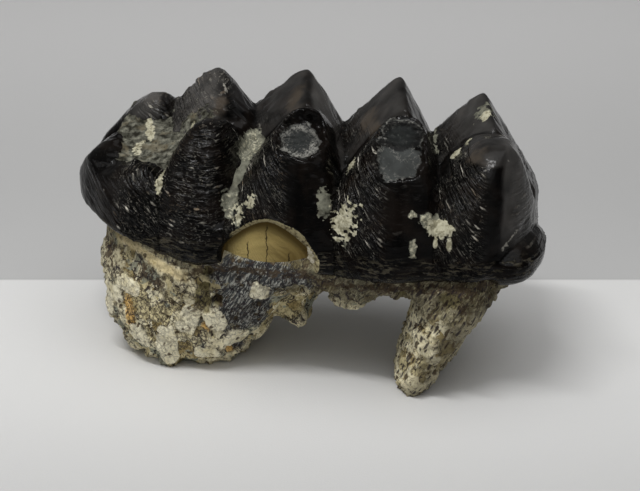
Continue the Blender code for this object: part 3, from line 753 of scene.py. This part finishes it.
def fusedRoots():
    # every section's closed loft joined in one mesh, made one skin by a voxel remesh
    lofts = [gridMesh("loft", withEnds(loft(rows, roots["rings"], roots["spokes"])), {})
             for rows in roots["sections"].values()]
    points, faces, start = [], [], 0
    for piece in lofts:
        co = np.empty(len(piece.data.vertices) * 3)
        piece.data.vertices.foreach_get("co", co)
        points.append(co.reshape(-1, 3))
        faces += [[start + v for v in face.vertices] for face in piece.data.polygons]
        start += len(piece.data.vertices)
        bpy.data.objects.remove(piece)
    mesh = bpy.data.meshes.new("rootSkin")
    mesh.from_pydata(np.concatenate(points).tolist(), [], faces)
    skin = bpy.data.objects.new("rootSkin", mesh)
    bpy.context.scene.collection.objects.link(skin)
    fuse = skin.modifiers.new("fuse", "REMESH")
    fuse.mode = "VOXEL"
    fuse.voxel_size = roots["voxel"] * mm
    soften = skin.modifiers.new("soften", "SMOOTH")
    soften.iterations = 3
    graph = bpy.context.evaluated_depsgraph_get()
    result = bpy.data.meshes.new_from_object(skin.evaluated_get(graph))
    bpy.data.objects.remove(skin)
    return result


def alongLean(x, z):
    # places across and along the front root's lean
    return leanUp * x - leanAlong * z, leanAlong * x + leanUp * z


def rootPits(point, front):
    # pits are the middles of some jittered cells: long slits that follow the lean of the front
    # root, and small round ones on the rest
    x, y, z = point
    across, along = alongLean(x, z)
    width, depth, length = rootRelief["slitSize"]
    shake = bumps(point, *rootNoise["pitShake"])
    gap, own = cells(across / width + shake, y / depth, along / length, 81)
    pit = rise(0.40 - gap, 0, 0.2) * (own < 0.5) * front
    gap, own = cells(*(v / size for v, size in zip(point, rootRelief["pitSize"])), 83)
    return np.maximum(pit, rise(0.32 - gap, 0, 0.14) * (own < 0.25) * (1 - front))


def dressRoots(mesh):
    # along each normal: lumps, two generations of peeled layers, plates, fibres, pits, hollows and
    # a broken foot
    count = len(mesh.vertices)
    co, normal = np.empty(count * 3), np.empty(count * 3)
    mesh.vertices.foreach_get("co", co)
    mesh.vertex_normals.foreach_get("vector", normal)
    co, normal = co.reshape(-1, 3) / mm + shift, normal.reshape(-1, 3)
    x, y, z = point = tuple(co.T)
    front = rise(x, *rootRelief["frontRun"])
    across, along = alongLean(x, z)
    noise = {name: bumps((across, y, along) if name == "fibre" else point, *values)
             for name, values in rootNoise.items()}
    outer, inner = noise["outer"] + noise["outerFray"], noise["inner"] + noise["innerFray"]
    pit = rootPits(point, front)
    plate = np.max([slab(point, *place) for place in plates], axis=0) + 0.4 * noise["fray"]
    hollow = np.zeros(count)
    for at, size, depth in hollows:
        hollow = np.maximum(hollow, depth * rise(blob(point, at, size) + noise["fray"], 0, 0.3))
    layers = rootRelief["outer"] * rise(outer, 0.0, 0.1) + rootRelief["inner"] * rise(inner, 0.05, 0.15)
    push = noise["lump"] + layers - rootRelief["sink"] + noise["fibre"] - rootRelief["pit"] * pit
    push = push + noise["foot"] * rise(rootRelief["footTop"] - z, 0, 9) - hollow
    push = push * (1 - rootRelief["plateCalm"] * rise(plate, 0, 0.1))
    push = push + rootRelief["plate"] * rise(plate, 0, 0.07)
    below = readLine(lipLine, x) - z
    edge = past(1 - np.abs(outer - 0.02) / 0.06, 0) + 0.8 * past(1 - np.abs(inner - 0.07) / 0.06, 0)
    edge = np.maximum(edge, 1 - np.abs(plate) / 0.08)
    band = rise(below, -1, 1) * (1 - rise(below, 3.5, 6)) * rise(-36 - x, 0, 6) * rise(-y, 5, 15)
    # the last field is a painted shade: a dark band just under the enamel lip
    fields = dict(outer=outer, inner=inner, edge=edge, pit=pit, plate=plate, hollow=hollow, front=front,
                  band=band, lipDark=(1 - rise(np.abs(below - 0.3), 0.6, 3.6)) * rise(x, -46, -34))
    for name, places in stains.items():
        fields[name] = np.max([blob(point, *place) for place in places], axis=0)
    co = co + normal * (rise(rootRelief["rootTop"] - z, 0, 5) * push)[:, None]
    co[:, 2] = np.maximum(co[:, 2], 0)
    mesh.vertices.foreach_set("co", ((co - shift) * mm).ravel())
    return linkMesh("rootDentine", mesh, fields)


rootPiece = dressRoots(fusedRoots())
print("roots", len(rootPiece.data.polygons), "faces")


# the materials

class Wire:
    # a socket in a material; arithmetic on it adds Math nodes, and node() adds any other

    def __init__(self, tree, socket=None):
        self.tree, self.socket = tree, socket

    def node(self, kind, settings=None, inputs=None, output=0):
        # a node of this kind: its settings first, then a value or a wire for each input; gives one output
        made = self.tree.nodes.new("ShaderNode" + kind)
        for key, value in (settings or {}).items():
            setattr(made, key, value)
        for key, value in (inputs or {}).items():
            if isinstance(value, Wire):
                self.tree.links.new(value.socket, made.inputs[key])
            else:
                made.inputs[key].default_value = value
        return Wire(self.tree, made.outputs[output] if made.outputs else None)

    def maths(self, operation, first, second=0.0):
        return self.node("Math", dict(operation=operation), {0: first, 1: second})

    def vectorMaths(self, operation, first, second, third=(0, 0, 0)):
        return self.node("VectorMath", dict(operation=operation), {0: first, 1: second, 2: third})

    def __add__(self, other):
        return self.maths("ADD", self, other)

    def __sub__(self, other):
        return self.maths("SUBTRACT", self, other)

    def __rsub__(self, other):
        return self.maths("SUBTRACT", other, self)

    def __mul__(self, other):
        return self.maths("MULTIPLY", self, other)

    def __truediv__(self, other):
        return self.maths("DIVIDE", self, other)

    def __abs__(self):
        return self.maths("ABSOLUTE", self)

    __radd__, __rmul__ = __add__, __mul__

    def most(self, other):
        # the larger of the two
        return self.maths("MAXIMUM", self, other)

    def least(self, other):
        # the smaller of the two
        return self.maths("MINIMUM", self, other)

    def step(self, start, end):
        # 0 before start, 1 beyond end, smooth between
        return self.node("MapRange", dict(interpolation_type="SMOOTHSTEP"),
                         {"Value": self, "From Min": start, "From Max": end})

    def mix(self, first, second):
        # this wire as the share of the second colour
        first = (*first, 1) if isinstance(first, tuple) else first
        second = (*second, 1) if isinstance(second, tuple) else second
        return self.node("Mix", dict(data_type="RGBA"), {0: self, 6: first, 7: second}, 2)

    def vector(self, x, y, z=0.0):
        return self.node("CombineXYZ", None, {"X": x, "Y": y, "Z": z})

    def part(self, output):
        # one number of this vector: 0, 1 or 2 for x, y or z
        return self.node("SeparateXYZ", None, {0: self}, output)

    def scaled(self, x, y, z):
        # this vector stretched along its axes
        return self.vectorMaths("MULTIPLY", self, (x, y, z))

    def noise(self, size, detail=3.0, roughness=0.55, output=0):
        # noise over this vector with waves of the given size, about 0.5
        return self.node("TexNoise", None, {"Vector": self, "Scale": 1 / size, "Detail": detail,
                                            "Roughness": roughness}, output)

    def cell(self, size, feature="F1", output=0):
        # cells of the given size: the distance to a cell's point or edge, or its colour as output 1
        return self.node("TexVoronoi", dict(feature=feature), {"Vector": self, "Scale": 1 / size}, output)

    def cellNumber(self, size):
        # each cell's own number from 0 to 1, as the red of its colour
        return self.node("SeparateColor", None, {0: self.cell(size, output=1)})

    def warped(self, size, amount):
        # this vector pushed about by a noise of the given size, by up to half the amount
        push = self.vectorMaths("SUBTRACT", self.noise(size, 2.0, 0.5, 1), (0.5, 0.5, 0.5))
        return self.vectorMaths("MULTIPLY_ADD", push, (amount,) * 3, self)

    def ridge(self, width):
        # 1 where this wire crosses a half, falling to 0 on both sides over the width
        return self.ring(0.5, width)

    def ring(self, middle, width):
        # 1 at the middle value, falling to 0 on both sides over the width
        return 1 - (abs(self - middle) / width).least(1.0)


def newMaterial(name):
    # a material, a first wire and the object's own place in mm
    material = bpy.data.materials.new(name)
    material.use_nodes = True
    tree = material.node_tree
    tree.nodes.clear()
    wire = Wire(tree)
    place = wire.node("TexCoord", None, None, 3)
    return material, wire, wire.vectorMaths("MULTIPLY_ADD", place, (1 / mm,) * 3, tuple(shift))


def readFields(wire, names):
    # the mesh's own attributes, by name
    fields = {name: wire.node("Attribute", dict(attribute_type="GEOMETRY", attribute_name=name), None, 2)
              for name in names.split()}
    return SimpleNamespace(**fields)


def finishMaterial(wire, colour, roughness, height, specular, strength=0.9):
    # one surface, with the height in mm as its bump
    bump = wire.node("Bump", None, {"Strength": strength, "Distance": mm, "Height": height})
    surface = wire.node("BsdfPrincipled", None, {
        "Base Color": colour, "Roughness": roughness, "Normal": bump, "Specular IOR Level": specular})
    wire.node("OutputMaterial", None, {"Surface": surface})


enamelLook = dict(
    dark=(0.0006, 0.0005, 0.0005), brown=(0.0040, 0.0026, 0.0019), tint=(0.060, 0.048, 0.036),
    dustAndGlint=(0.62, 0.585, 0.50), dustAndGlintBrown=(0.24, 0.16, 0.09), rimDust=(0.062, 0.054, 0.037),
    lipDust=(0.16, 0.135, 0.09), chalk=(0.40, 0.38, 0.33), flake=(0.60, 0.56, 0.45),
    sheenTint=(1.0, 0.95, 0.89), dashesPerMm=0.45, specular=0.085,
)
siltLook = dict(
    grey=(0.085, 0.084, 0.066), dark=(0.014, 0.013, 0.009), pale=(0.20, 0.195, 0.155),
    tan=(0.14, 0.12, 0.078), calm=(0.17, 0.17, 0.13), cream=(0.42, 0.40, 0.295),
    creamLow=(0.21, 0.195, 0.13), calmFrom=-38.0, calmFull=-33.0,
)
wornLook = dict(
    grey=(0.012, 0.0135, 0.013), smooth=(0.036, 0.039, 0.037), dull=(0.014, 0.015, 0.014),
    pale=(0.20, 0.195, 0.175), dark=enamelLook["dark"],
)
windowLook = dict(
    pale=(0.385, 0.30, 0.115), dark=(0.095, 0.062, 0.016), bevel=(0.42, 0.37, 0.215),
    bevelDark=(0.07, 0.05, 0.025), crack=(0.02, 0.013, 0.006), crackHalf=0.28,
    plainBefore=-19.0, plainBelow=70.0,  # the left corner, where enamel hides the bevel
)


def enamelBody(wire, p, f, look):
    # near-black enamel with a grey painted sheen added on the cusps' flanks and polished tops, pale
    # dashes and threads along the wrinkles that are partly dust and partly painted glints, and dusty
    # lines round the rim and the lower lip
    wave = (p.noise(3.5, 2) - 0.5) * 1.6
    across = f.strandS + wave
    dashAt = wire.vector(across, f.strandQ * 0.36, wave)
    dashSize = 1 / look["dashesPerMm"]
    dashes = 1 - dashAt.cell(dashSize).step(0.12, 0.27)
    chosen = dashAt.cellNumber(dashSize)
    thin = wire.vector(across, f.strandQ * 0.26, 3.0).noise(0.9, 2, 0.5).ridge(0.035)
    threads = (dashes * chosen.step(0.25, 0.6) + thin * 0.35 * f.fine.step(0.4, 0.6)).least(1.0)
    patchy = p.noise(5.5, 3, 0.6).step(0.38, 0.58) * 0.8 + 0.2
    threads = threads * patchy * f.strand.step(0.05, 1.0) * (1 - f.rim * 0.9)
    body = f.broad.step(0.4, 0.68).mix(look["dark"], look["brown"])
    # painted sheen: the tone is added as grey to the enamel's colour, standing in for reflected lamp light
    paintedSheen = wire.node("CombineColor", None, {k: f.tone * share for k, share in enumerate(look["sheenTint"])})
    body = wire.node("Mix", dict(data_type="RGBA", blend_type="ADD"), {0: 1.0, 6: body, 7: paintedSheen}, 2)
    # the strokes' pale colour is partly dust and partly painted glints where the wrinkles would catch the
    # lamps
    dustAndGlintColour = (p.noise(8, 2).step(0.5, 0.62) * 0.8).mix(look["dustAndGlint"], look["dustAndGlintBrown"])
    body = (threads * (f.fine * 1.3 + 0.2)).least(1.0).mix(body, dustAndGlintColour)
    rimLines = p.scaled(0.26, 0.26, 1.0).noise(1.0, 4, 0.65).step(0.50, 0.60) * f.rim
    rimLines = rimLines * (p.noise(8, 2).step(0.38, 0.56) * 0.75 + 0.25)
    body = (rimLines * 0.8).mix(body, look["rimDust"])
    lip = 1 - ((f.lip + (f.fine - 0.5) * 3) / 4.5).step(0.0, 1.0)
    lip = lip * p.scaled(0.3, 0.3, 1.0).noise(1.2, 3, 0.6).step(0.40, 0.62)
    lip = lip * (1 - p.part(0).step(-46.0, -30.0))
    body = (lip * 0.7).mix(body, look["lipDust"])
    body = ((f.tint + (f.broad - 0.5) * 1.2).step(-0.1, 0.7) * 0.7).mix(body, look["tint"])
    ripple = wire.vector(across, f.strandQ * 0.1, 7.0).noise(1.5, 2, 0.5)
    height = threads + ripple * f.strand * 2.2 + chosen * dashes * f.strand * 0.8
    return body, height, rimLines


def wornColours(p, f, look):
    # worn flats: grainy grey with pale chips, a pale ring and brink, and dark gaps; the middling
    # rough one is a darker crater
    ring = f.worn.ring(1.5, 2.2) * f.rough.step(0.75, 1.0) * p.noise(0.9, 4, 0.75).step(0.36, 0.56)
    chips = p.noise(0.8, 4, 0.7) + (f.rough - 1) * 0.25 - f.worn.least(5.0) * 0.025
    squiggle = p.noise(3.2, 3, 0.6).ridge(0.03) * p.noise(5, 2).step(0.40, 0.55)
    brink = f.worn.ring(0.2, 0.7) * p.noise(2.4, 2).step(0.44, 0.56)
    colour = f.rough.step(0.45, 0.65).mix(look["smooth"], look["grey"])
    for share in (chips.step(0.42, 0.56), squiggle * 0.6, ring * chips.step(0.25, 0.5) * 0.8, brink * 0.8):
        colour = share.mix(colour, look["pale"])
    colour = (f.broad.step(0.42, 0.62) * 0.6).mix(colour, look["dull"])
    gaps = (1 - p.noise(1.6, 4, 0.75).step(0.38, 0.48)) * f.rough.step(0.5, 0.9)
    crater = f.rough.step(0.76, 0.82) * (1 - f.rough.step(0.88, 0.94))
    crater = crater * p.noise(2.6, 4, 0.75).step(0.36, 0.50)
    colour = (crater * 0.9).mix((gaps * 0.85).mix(colour, look["dark"]), look["dark"])
    colour = (f.worn.step(2.5, 5.5) * f.rough * 0.75).mix(colour, look["grey"])
    inside = f.worn + (f.fine - 0.5) * 3.0 + (p.noise(2.4, 3, 0.7) - 0.5) * 3.5
    return colour, inside.step(-1.1, 1.0)


def siltColours(p, f, look):
    # mottled grey silt, calmer in the valleys than in the heel's basin, and creamy patches
    mottled = p.noise(2.6, 4, 0.65)
    colour = mottled.step(0.38, 0.54).mix(look["dark"], look["grey"])
    colour = mottled.step(0.50, 0.66).mix(colour, look["pale"])
    colour = (p.noise(7, 3).step(0.52, 0.68) * 0.6).mix(colour, look["tan"])
    colour = (p.noise(1.3, 3, 0.6).step(0.57, 0.66) * 0.85).mix(colour, look["dark"])
    calm = p.part(0).step(look["calmFrom"], look["calmFull"]) * 0.75
    colour = calm.mix(colour, mottled.step(0.3, 0.6).mix(look["grey"], look["calm"]))
    creamColour = (mottled + (f.fine - 0.5) * 0.8).step(0.36, 0.62).mix(look["creamLow"], look["cream"])
    colour = (f.cream + (f.fine - 0.5) * 0.9).step(0.42, 0.62).mix(colour, creamColour)
    inside = f.silt + (f.fine - 0.5) * 1.6 + (f.grain - 0.5) * 0.8
    return colour, inside.step(-0.05, 0.3)


def windowColours(wire, p, f, look):
    # bare dentine with growth bands that follow the window's arch, cracks, and round it a bevel of
    # broken enamel whose fibres fan out from the window's foot
    x, z = p.part(0), p.part(2)
    bands = wire.vector(f.edge * 0.5, x * 0.05, 3.0).noise(1.6, 3)
    dentine = (x * -0.028 + 0.42 + (bands - 0.5) * 0.9 + f.edge * 0.012).step(0.0, 1.0)
    dentine = dentine.mix(look["dark"], look["pale"])
    # painted shade: the dentine darkens within about 4 mm of the window's outline, under the enamel edge
    dentine = (f.edge * -0.25).least(1.0).step(0.0, 1.0).mix(look["dark"], dentine)
    wander = (p.noise(2.2, 3) - 0.5) * 2.4
    crack = 0.0
    for middle, low, high in window["cracks"]:
        line = 1 - (abs(x + wander - middle) / look["crackHalf"]).step(0.4, 1.0)
        line = line * z.step(low - 0.5, low + 0.5) * (1 - z.step(high - 1, high + 1))
        crack = line.most(crack)
    dentine = (crack * 0.9).mix(dentine, look["crack"])
    around = wire.maths("ARCTAN2", z - window["fanZ"], x - window["x"]) * window["fanReach"]
    fibres = wire.vector(around + (p.noise(3, 2) - 0.5) * 2.5, f.edge * 0.22).noise(0.9, 3, 0.6)
    bevel = (p.noise(2.6, 4).step(0.28, 0.5) * fibres.step(0.36, 0.52)).mix(look["bevelDark"], look["bevel"])
    frayed = (f.fine - 0.5) * 4
    before, below = look["plainBefore"], look["plainBelow"]
    plain = (1 - (x - frayed).step(before - 2, before)) * (1 - (z + frayed).step(below - 2, below))
    bevel = plain.mix(bevel, enamelLook["dark"])
    colour = f.edge.step(-0.15, 0.15).mix(dentine, bevel)
    colour = (f.edge.ring(-0.1, 0.55) * 0.85).mix(colour, look["dark"])
    inside = f.bare + (f.fine - 0.5) * 1.2 + (p.noise(2.8, 3) - 0.5) * 1.4
    return colour, inside.step(0.0, 0.25), fibres * f.edge.step(0.0, 0.3) * 0.8 - crack * 0.3


def enamelMaterial():
    # enamel, then worn flats, silt, the window, chalky lines and the flake, each laid over the last
    look = enamelLook
    material, wire, p = newMaterial("fossilEnamel")
    f = readFields(wire, "silt cream bare edge worn rough rim lip flake tone chalk tint "
                         "strand strandS strandQ")
    f.fine, f.grain, f.broad = p.noise(1.1, 4), p.noise(0.45, 3), p.noise(9, 3)
    body, height, rimLines = enamelBody(wire, p, f, look)
    wornColour, isWorn = wornColours(p, f, wornLook)
    siltColour, isSilt = siltColours(p, f, siltLook)
    windowColour, isBare, windowHeight = windowColours(wire, p, f, windowLook)
    body = isBare.mix(isSilt.mix(isWorn.mix(body, wornColour), siltColour), windowColour)
    body = ((1 - (f.chalk + (f.fine - 0.5) * 2.5).step(0.5, 1.4)) * 0.6).mix(body, look["chalk"])
    isFlake = (f.flake + (f.fine - 0.5) * 0.5).step(0.0, 0.12)
    body = isFlake.mix(body, f.fine.step(0.35, 0.55).mix(windowLook["bevel"], look["flake"]))
    matt = isSilt.most(isFlake).most(isBare * 0.7).most(isWorn * 0.6)
    roughness = matt * 0.62 + 0.13 + (f.fine - 0.5) * 0.12 + (f.broad - 0.5) * 0.16
    height = height * (1 - matt) + (f.grain * 0.10 + f.fine * 0.12) * matt
    height = height + windowHeight * isBare + rimLines * 0.2 + p.noise(3, 3) * 0.18
    finishMaterial(wire, body, roughness, height, look["specular"])
    return material


rootLook = dict(
    cream=(0.67, 0.585, 0.34), pale=(0.90, 0.83, 0.59), tan=(0.36, 0.28, 0.12), grey=(0.33, 0.34, 0.26),
    olive=(0.22, 0.19, 0.085), shade=(0.085, 0.070, 0.036), shadePale=(0.24, 0.215, 0.13),
    blue=(0.045, 0.048, 0.050), bluePale=(0.38, 0.38, 0.34), brown=(0.080, 0.055, 0.032),
    orange=(0.74, 0.45, 0.13), speck=(0.026, 0.019, 0.022), pitFloor=(0.20, 0.165, 0.10),
    plate=(0.93, 0.87, 0.65), band=(0.66, 0.55, 0.31), specular=0.22,
)


def cementFlakes(p, f, look):
    # flakes of cement in several tones, and the broken net of dark cracks that parts them
    loose = p.warped(4.5, 5.0).scaled(1.0, 0.8, 0.6)
    tone = loose.cellNumber(4.2)
    base = tone.step(0.3, 0.36).mix(look["tan"], look["cream"])
    base = tone.step(0.62, 0.68).mix(base, look["pale"])
    base = (f.broad.step(0.42, 0.6) * 0.7).mix(base, look["cream"])
    base = ((f.outer + (f.fine - 0.5) * 0.3).step(0.0, 0.1) * 0.75).mix(base, look["pale"])
    under = 1 - (f.inner + (f.fine - 0.5) * 0.4).step(-0.45, -0.25)
    base = (under * (1 - f.front)).mix(base, look["grey"])
    base = (p.noise(5, 3).step(0.6, 0.72) * 0.5).mix(base, look["olive"])
    base = (f.fine.step(0.56, 0.66) * 0.55).mix(base, look["tan"])
    net = 1 - loose.cell(4.2, "DISTANCE_TO_EDGE").step(0.02, 0.09)
    net = net * p.noise(4.5, 3, 0.7).step(0.48, 0.55)
    smallNet = 1 - p.warped(2.2, 3.0).scaled(1.0, 0.8, 0.7).cell(1.9, "DISTANCE_TO_EDGE").step(0.02, 0.11)
    smallNet = smallNet * (p.noise(5, 3) + f.speckled.step(-0.3, 0.4) * 0.14).step(0.52, 0.60)
    return base, (net * 0.95).most(smallNet * 0.8)


def rootStains(wire, p, f, base, look):
    # dull and shaded parts, fibres that lean to the right on blue grey, brown and orange stains
    x, z = p.part(0), p.part(2)
    wave = (p.noise(5, 2) - 0.5) * 3
    across, along = x * 0.87 - z * 0.5 + wave, x * 0.5 + z * 0.87
    weave = wire.vector(across, p.part(1) * 0.5, along * 0.14).noise(0.62, 3, 0.6).step(0.47, 0.57)
    dull = (f.dull + (f.broad - 0.5) * 1.2).step(0.0, 0.6)
    # painted shade: the front root darkens towards its right edge
    rightEdgeShade = (x * leanUp - z * leanAlong + (f.broad - 0.5) * 14).step(35.0, 42.0) * f.front
    base = (rightEdgeShade * 0.55).mix((dull * 0.52).mix(base, look["shade"]), look["shade"])
    # painted shade under the crown's overhang: the roots darken towards their tops, most from the middle of
    # the tooth rightwards, in the fibre-woven shade colour
    frayed = (f.broad - 0.5) * 16
    neck = (z + frayed).step(33.0, 44.0) * (x + frayed).step(-17.0, -5.0)
    underCrownShade = (z + (f.broad - 0.5) * 22).step(34.0, 50.0) * (1 - f.band)
    base = (neck * 0.85).most(underCrownShade * 0.5).mix(base, weave.mix(look["shade"], look["shadePale"]))
    isBlue = f.blue * 2 + (f.broad - 0.5) * 1.6 + (f.fine - 0.5) * 1.2 + (p.noise(10, 3, 0.6) - 0.5) * 2.4
    isBlue = isBlue.step(0.1, 0.5)
    base = isBlue.mix(base, weave.mix(look["blue"], look["bluePale"]))
    ragged = p.scaled(1.0, 1.0, 0.55).noise(1.7, 4, 0.7)
    isBrown = (f.brown * 1.5 + (ragged - 0.5) * 6 + (f.fine - 0.5) * 1.5).step(0.5, 0.9)
    ragged = p.scaled(0.6, 0.6, 1.0).noise(1.8, 4, 0.7)
    # painted shade: a band just under the enamel lip joins the brown stains
    isBrown = isBrown.most((f.lipDark * 1.3 + (ragged - 0.5) * 6).step(0.75, 1.25))
    base = (isBrown * 0.9).mix(base, look["brown"])
    isOrange = (f.orange * 2 + (f.fine - 0.5) * 1.5).step(0.0, 0.9)
    base = (isOrange * 0.85).mix(base, look["orange"])
    return base, weave * isBlue.most(neck)


def rootMarks(wire, p, f, net, quiet):
    # dark specks and thin wandering lines, and on the front root slits in two sizes along its lean
    x, z = p.part(0), p.part(2)
    specks = 1 - p.warped(1.2, 1.0).scaled(1, 1, 0.6).cell(1.9).step(0.14, 0.30)
    specks = specks * (p.noise(5, 2) + f.speckled.step(-0.2, 0.4) * 0.18 + f.front * 0.06).step(0.49, 0.58)
    marks = net * quiet * (1 - f.front * 0.75)
    marks = marks.most(specks * 0.85 * quiet * (1 - f.front * 0.5))
    lean = wire.vector(x * leanUp - z * leanAlong, p.part(1), (x * leanAlong + z * leanUp) * 0.22)
    slitAt = lean.warped(2.0, 1.6)
    slits = (1 - slitAt.cell(2.0).step(0.20, 0.38)) * slitAt.cellNumber(2.0).step(0.1, 0.2)
    marks = marks.most(slits * f.fine.step(0.28, 0.42) * f.front * 0.92)
    slits = (1 - lean.warped(3.0, 2.4).cell(1.25).step(0.20, 0.42)) * p.noise(4.0, 2).step(0.38, 0.46)
    marks = marks.most(slits * f.front * 0.9)
    meander = p.scaled(1.0, 1.0, 0.5).noise(2.4, 4, 0.65).ridge(0.016) * p.noise(6, 2).step(0.42, 0.55)
    return marks.most(meander * 0.8 * quiet)


def rootMaterial():
    # cement flakes and stains, then plates, the band, hollows, marks and pits, each over the last
    look = rootLook
    material, wire, p = newMaterial("rootCement")
    f = readFields(wire, "outer inner edge pit plate hollow band front lipDark " + " ".join(stains))
    f.fine, f.grain, f.broad = p.noise(1.0, 4, 0.65), p.noise(0.45, 3), p.noise(7, 4, 0.6)
    base, net = cementFlakes(p, f, look)
    base, fibres = rootStains(wire, p, f, base, look)

    # pale plates, the smooth band under the enamel, and hollows
    isPlate = f.plate.step(0.0, 0.06)
    base = (isPlate * 0.92).mix(base, f.broad.step(0.45, 0.75).mix(look["plate"], look["cream"]))
    base = (f.band * 0.9).mix(base, f.fine.step(0.5, 0.7).mix(look["band"], look["tan"]))
    base = (f.hollow * 0.6).least(0.9).mix(base, look["olive"])
    base = (f.hollow - 2.0).step(0.0, 0.8).mix(base, look["brown"])

    # marks, the edges of the peeled layers, and pits
    quiet = 1 - (isPlate * 0.5).most(f.band * 0.7)
    marks = rootMarks(wire, p, f, net, quiet)
    base = marks.mix(base, look["speck"])
    base = (f.edge * 0.85 * f.fine.step(0.38, 0.55)).least(1.0).mix(base, look["brown"])
    base = (f.pit.step(0.1, 0.5) * 0.9).mix(base, look["brown"])
    base = (f.pit.step(0.7, 1.0) * f.fine.step(0.3, 0.5) * 0.7).mix(base, look["pitFloor"])
    roughness = 0.78 + (f.fine - 0.5) * 0.2
    height = (f.fine * 0.4 + f.grain * 0.15) * quiet + fibres * 0.35 - marks * 0.4
    finishMaterial(wire, base, roughness, height, look["specular"])
    return material


for piece, material in ((crownPiece, enamelMaterial()), (rootPiece, rootMaterial())):
    piece.data.materials.clear()
    piece.data.materials.append(material)
    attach(piece, "root")
    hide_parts("tooth")
print("materials done")


# the studio: pale floor in two tones that meet on a line, three soft lamps, camera

# front is the tone of a painted shade: the floor darkens towards the camera
studio = dict(
    floorHalf=1.6, front=(0.43, 0.429, 0.425), near=(0.68, 0.678, 0.67), beyond=(0.465, 0.464, 0.460),
    far=(0.76, 0.755, 0.75), seam=(0.2, 0.2, 0.2), seamHalf=1.6, frontRun=(-260.0, -30.0),
    farRun=(60.0, 520.0), line=(-8.6, 63.0), lineWay=(0.978, 0.208), world=0.16, aim=(0, 0, 0.04),
    lamps={"overhead": dict(energy=5.0, size=1.3, size_y=0.85, place=(0.05, -0.20, 0.92)),
           "dome": dict(energy=7.8, size=2.4, size_y=1.8, place=(0.12, -0.9, 1.6)),
           "tube": dict(energy=3.6, size=0.40, size_y=0.030, place=(-0.12, -0.35, 0.80))},
    target=(0.0049, 0.0, 0.047), azimuth=12.0, elevation=25.0, distance=0.6, lens=84.375,
)


def inFrame(place):
    # a place in the shape's own metres, moved into the part's frame
    return Vector(place) - Vector(shift * mm)


def buildFloor():
    # one square, whose colour changes across the line and with the distance from it
    half = studio["floorHalf"]
    mesh = bpy.data.meshes.new("floor")
    corners = [(-half, -half, 0), (half, -half, 0), (half, half, 0), (-half, half, 0)]
    mesh.from_pydata(corners, [], [(0, 1, 2, 3)])
    floor = bpy.data.objects.new("floor", mesh)
    bpy.context.scene.collection.objects.link(floor)
    material, wire, p = newMaterial("paleFloor")
    (lineX, lineY), (wayX, wayY) = studio["line"], studio["lineWay"]
    over = (p.part(1) - lineY) * wayX - (p.part(0) - lineX) * wayY
    behind = over.step(*studio["farRun"]).mix(studio["beyond"], studio["far"])
    # painted shade: the floor darkens from near the tooth towards the camera
    before = over.step(*studio["frontRun"]).mix(studio["front"], studio["near"])
    tone = over.step(-0.6, 0.6).mix(before, behind)
    tone = (over.ring(0.0, studio["seamHalf"]) * 0.16).mix(tone, studio["seam"])
    finishMaterial(wire, tone, 0.5, p.noise(0.8), 0.2, 0.1)
    mesh.materials.append(material)


def buildLight():
    # even white surroundings, and rectangular lamps that all face one point
    world = bpy.data.worlds.new("studio")
    bpy.context.scene.world = world
    world.use_nodes = True
    background = world.node_tree.nodes["Background"].inputs
    background["Color"].default_value = (1, 1, 1, 1)
    background["Strength"].default_value = studio["world"]
    for name, settings in studio["lamps"].items():
        lamp = bpy.data.lights.new(name, "AREA")
        lamp.shape = "RECTANGLE"
        lamp.energy, lamp.size, lamp.size_y = settings["energy"], settings["size"], settings["size_y"]
        lampObject = bpy.data.objects.new(name, lamp)
        bpy.context.scene.collection.objects.link(lampObject)
        way = Vector(studio["aim"]) - Vector(settings["place"])
        lampObject.location = inFrame(settings["place"])
        lampObject.rotation_euler = way.to_track_quat("-Z", "Y").to_euler()


def buildCamera():
    # the camera stands back from its target by the distance, turned and lifted by its two angles
    camera = bpy.data.cameras.new("camera")
    camera.sensor_width = 36
    camera.lens = studio["lens"]
    cameraObject = bpy.data.objects.new("camera", camera)
    bpy.context.scene.collection.objects.link(cameraObject)
    turn, lift = math.radians(studio["azimuth"]), math.radians(studio["elevation"])
    back = Vector((math.sin(turn) * math.cos(lift), -math.cos(turn) * math.cos(lift), math.sin(lift)))
    cameraObject.location = inFrame(studio["target"]) + back * studio["distance"]
    cameraObject.rotation_euler = (-back).to_track_quat("-Z", "Y").to_euler()
    bpy.context.scene.camera = cameraObject


buildFloor()
buildLight()
buildCamera()
bpy.context.scene.view_settings.view_transform = "Standard"
print("studio done")
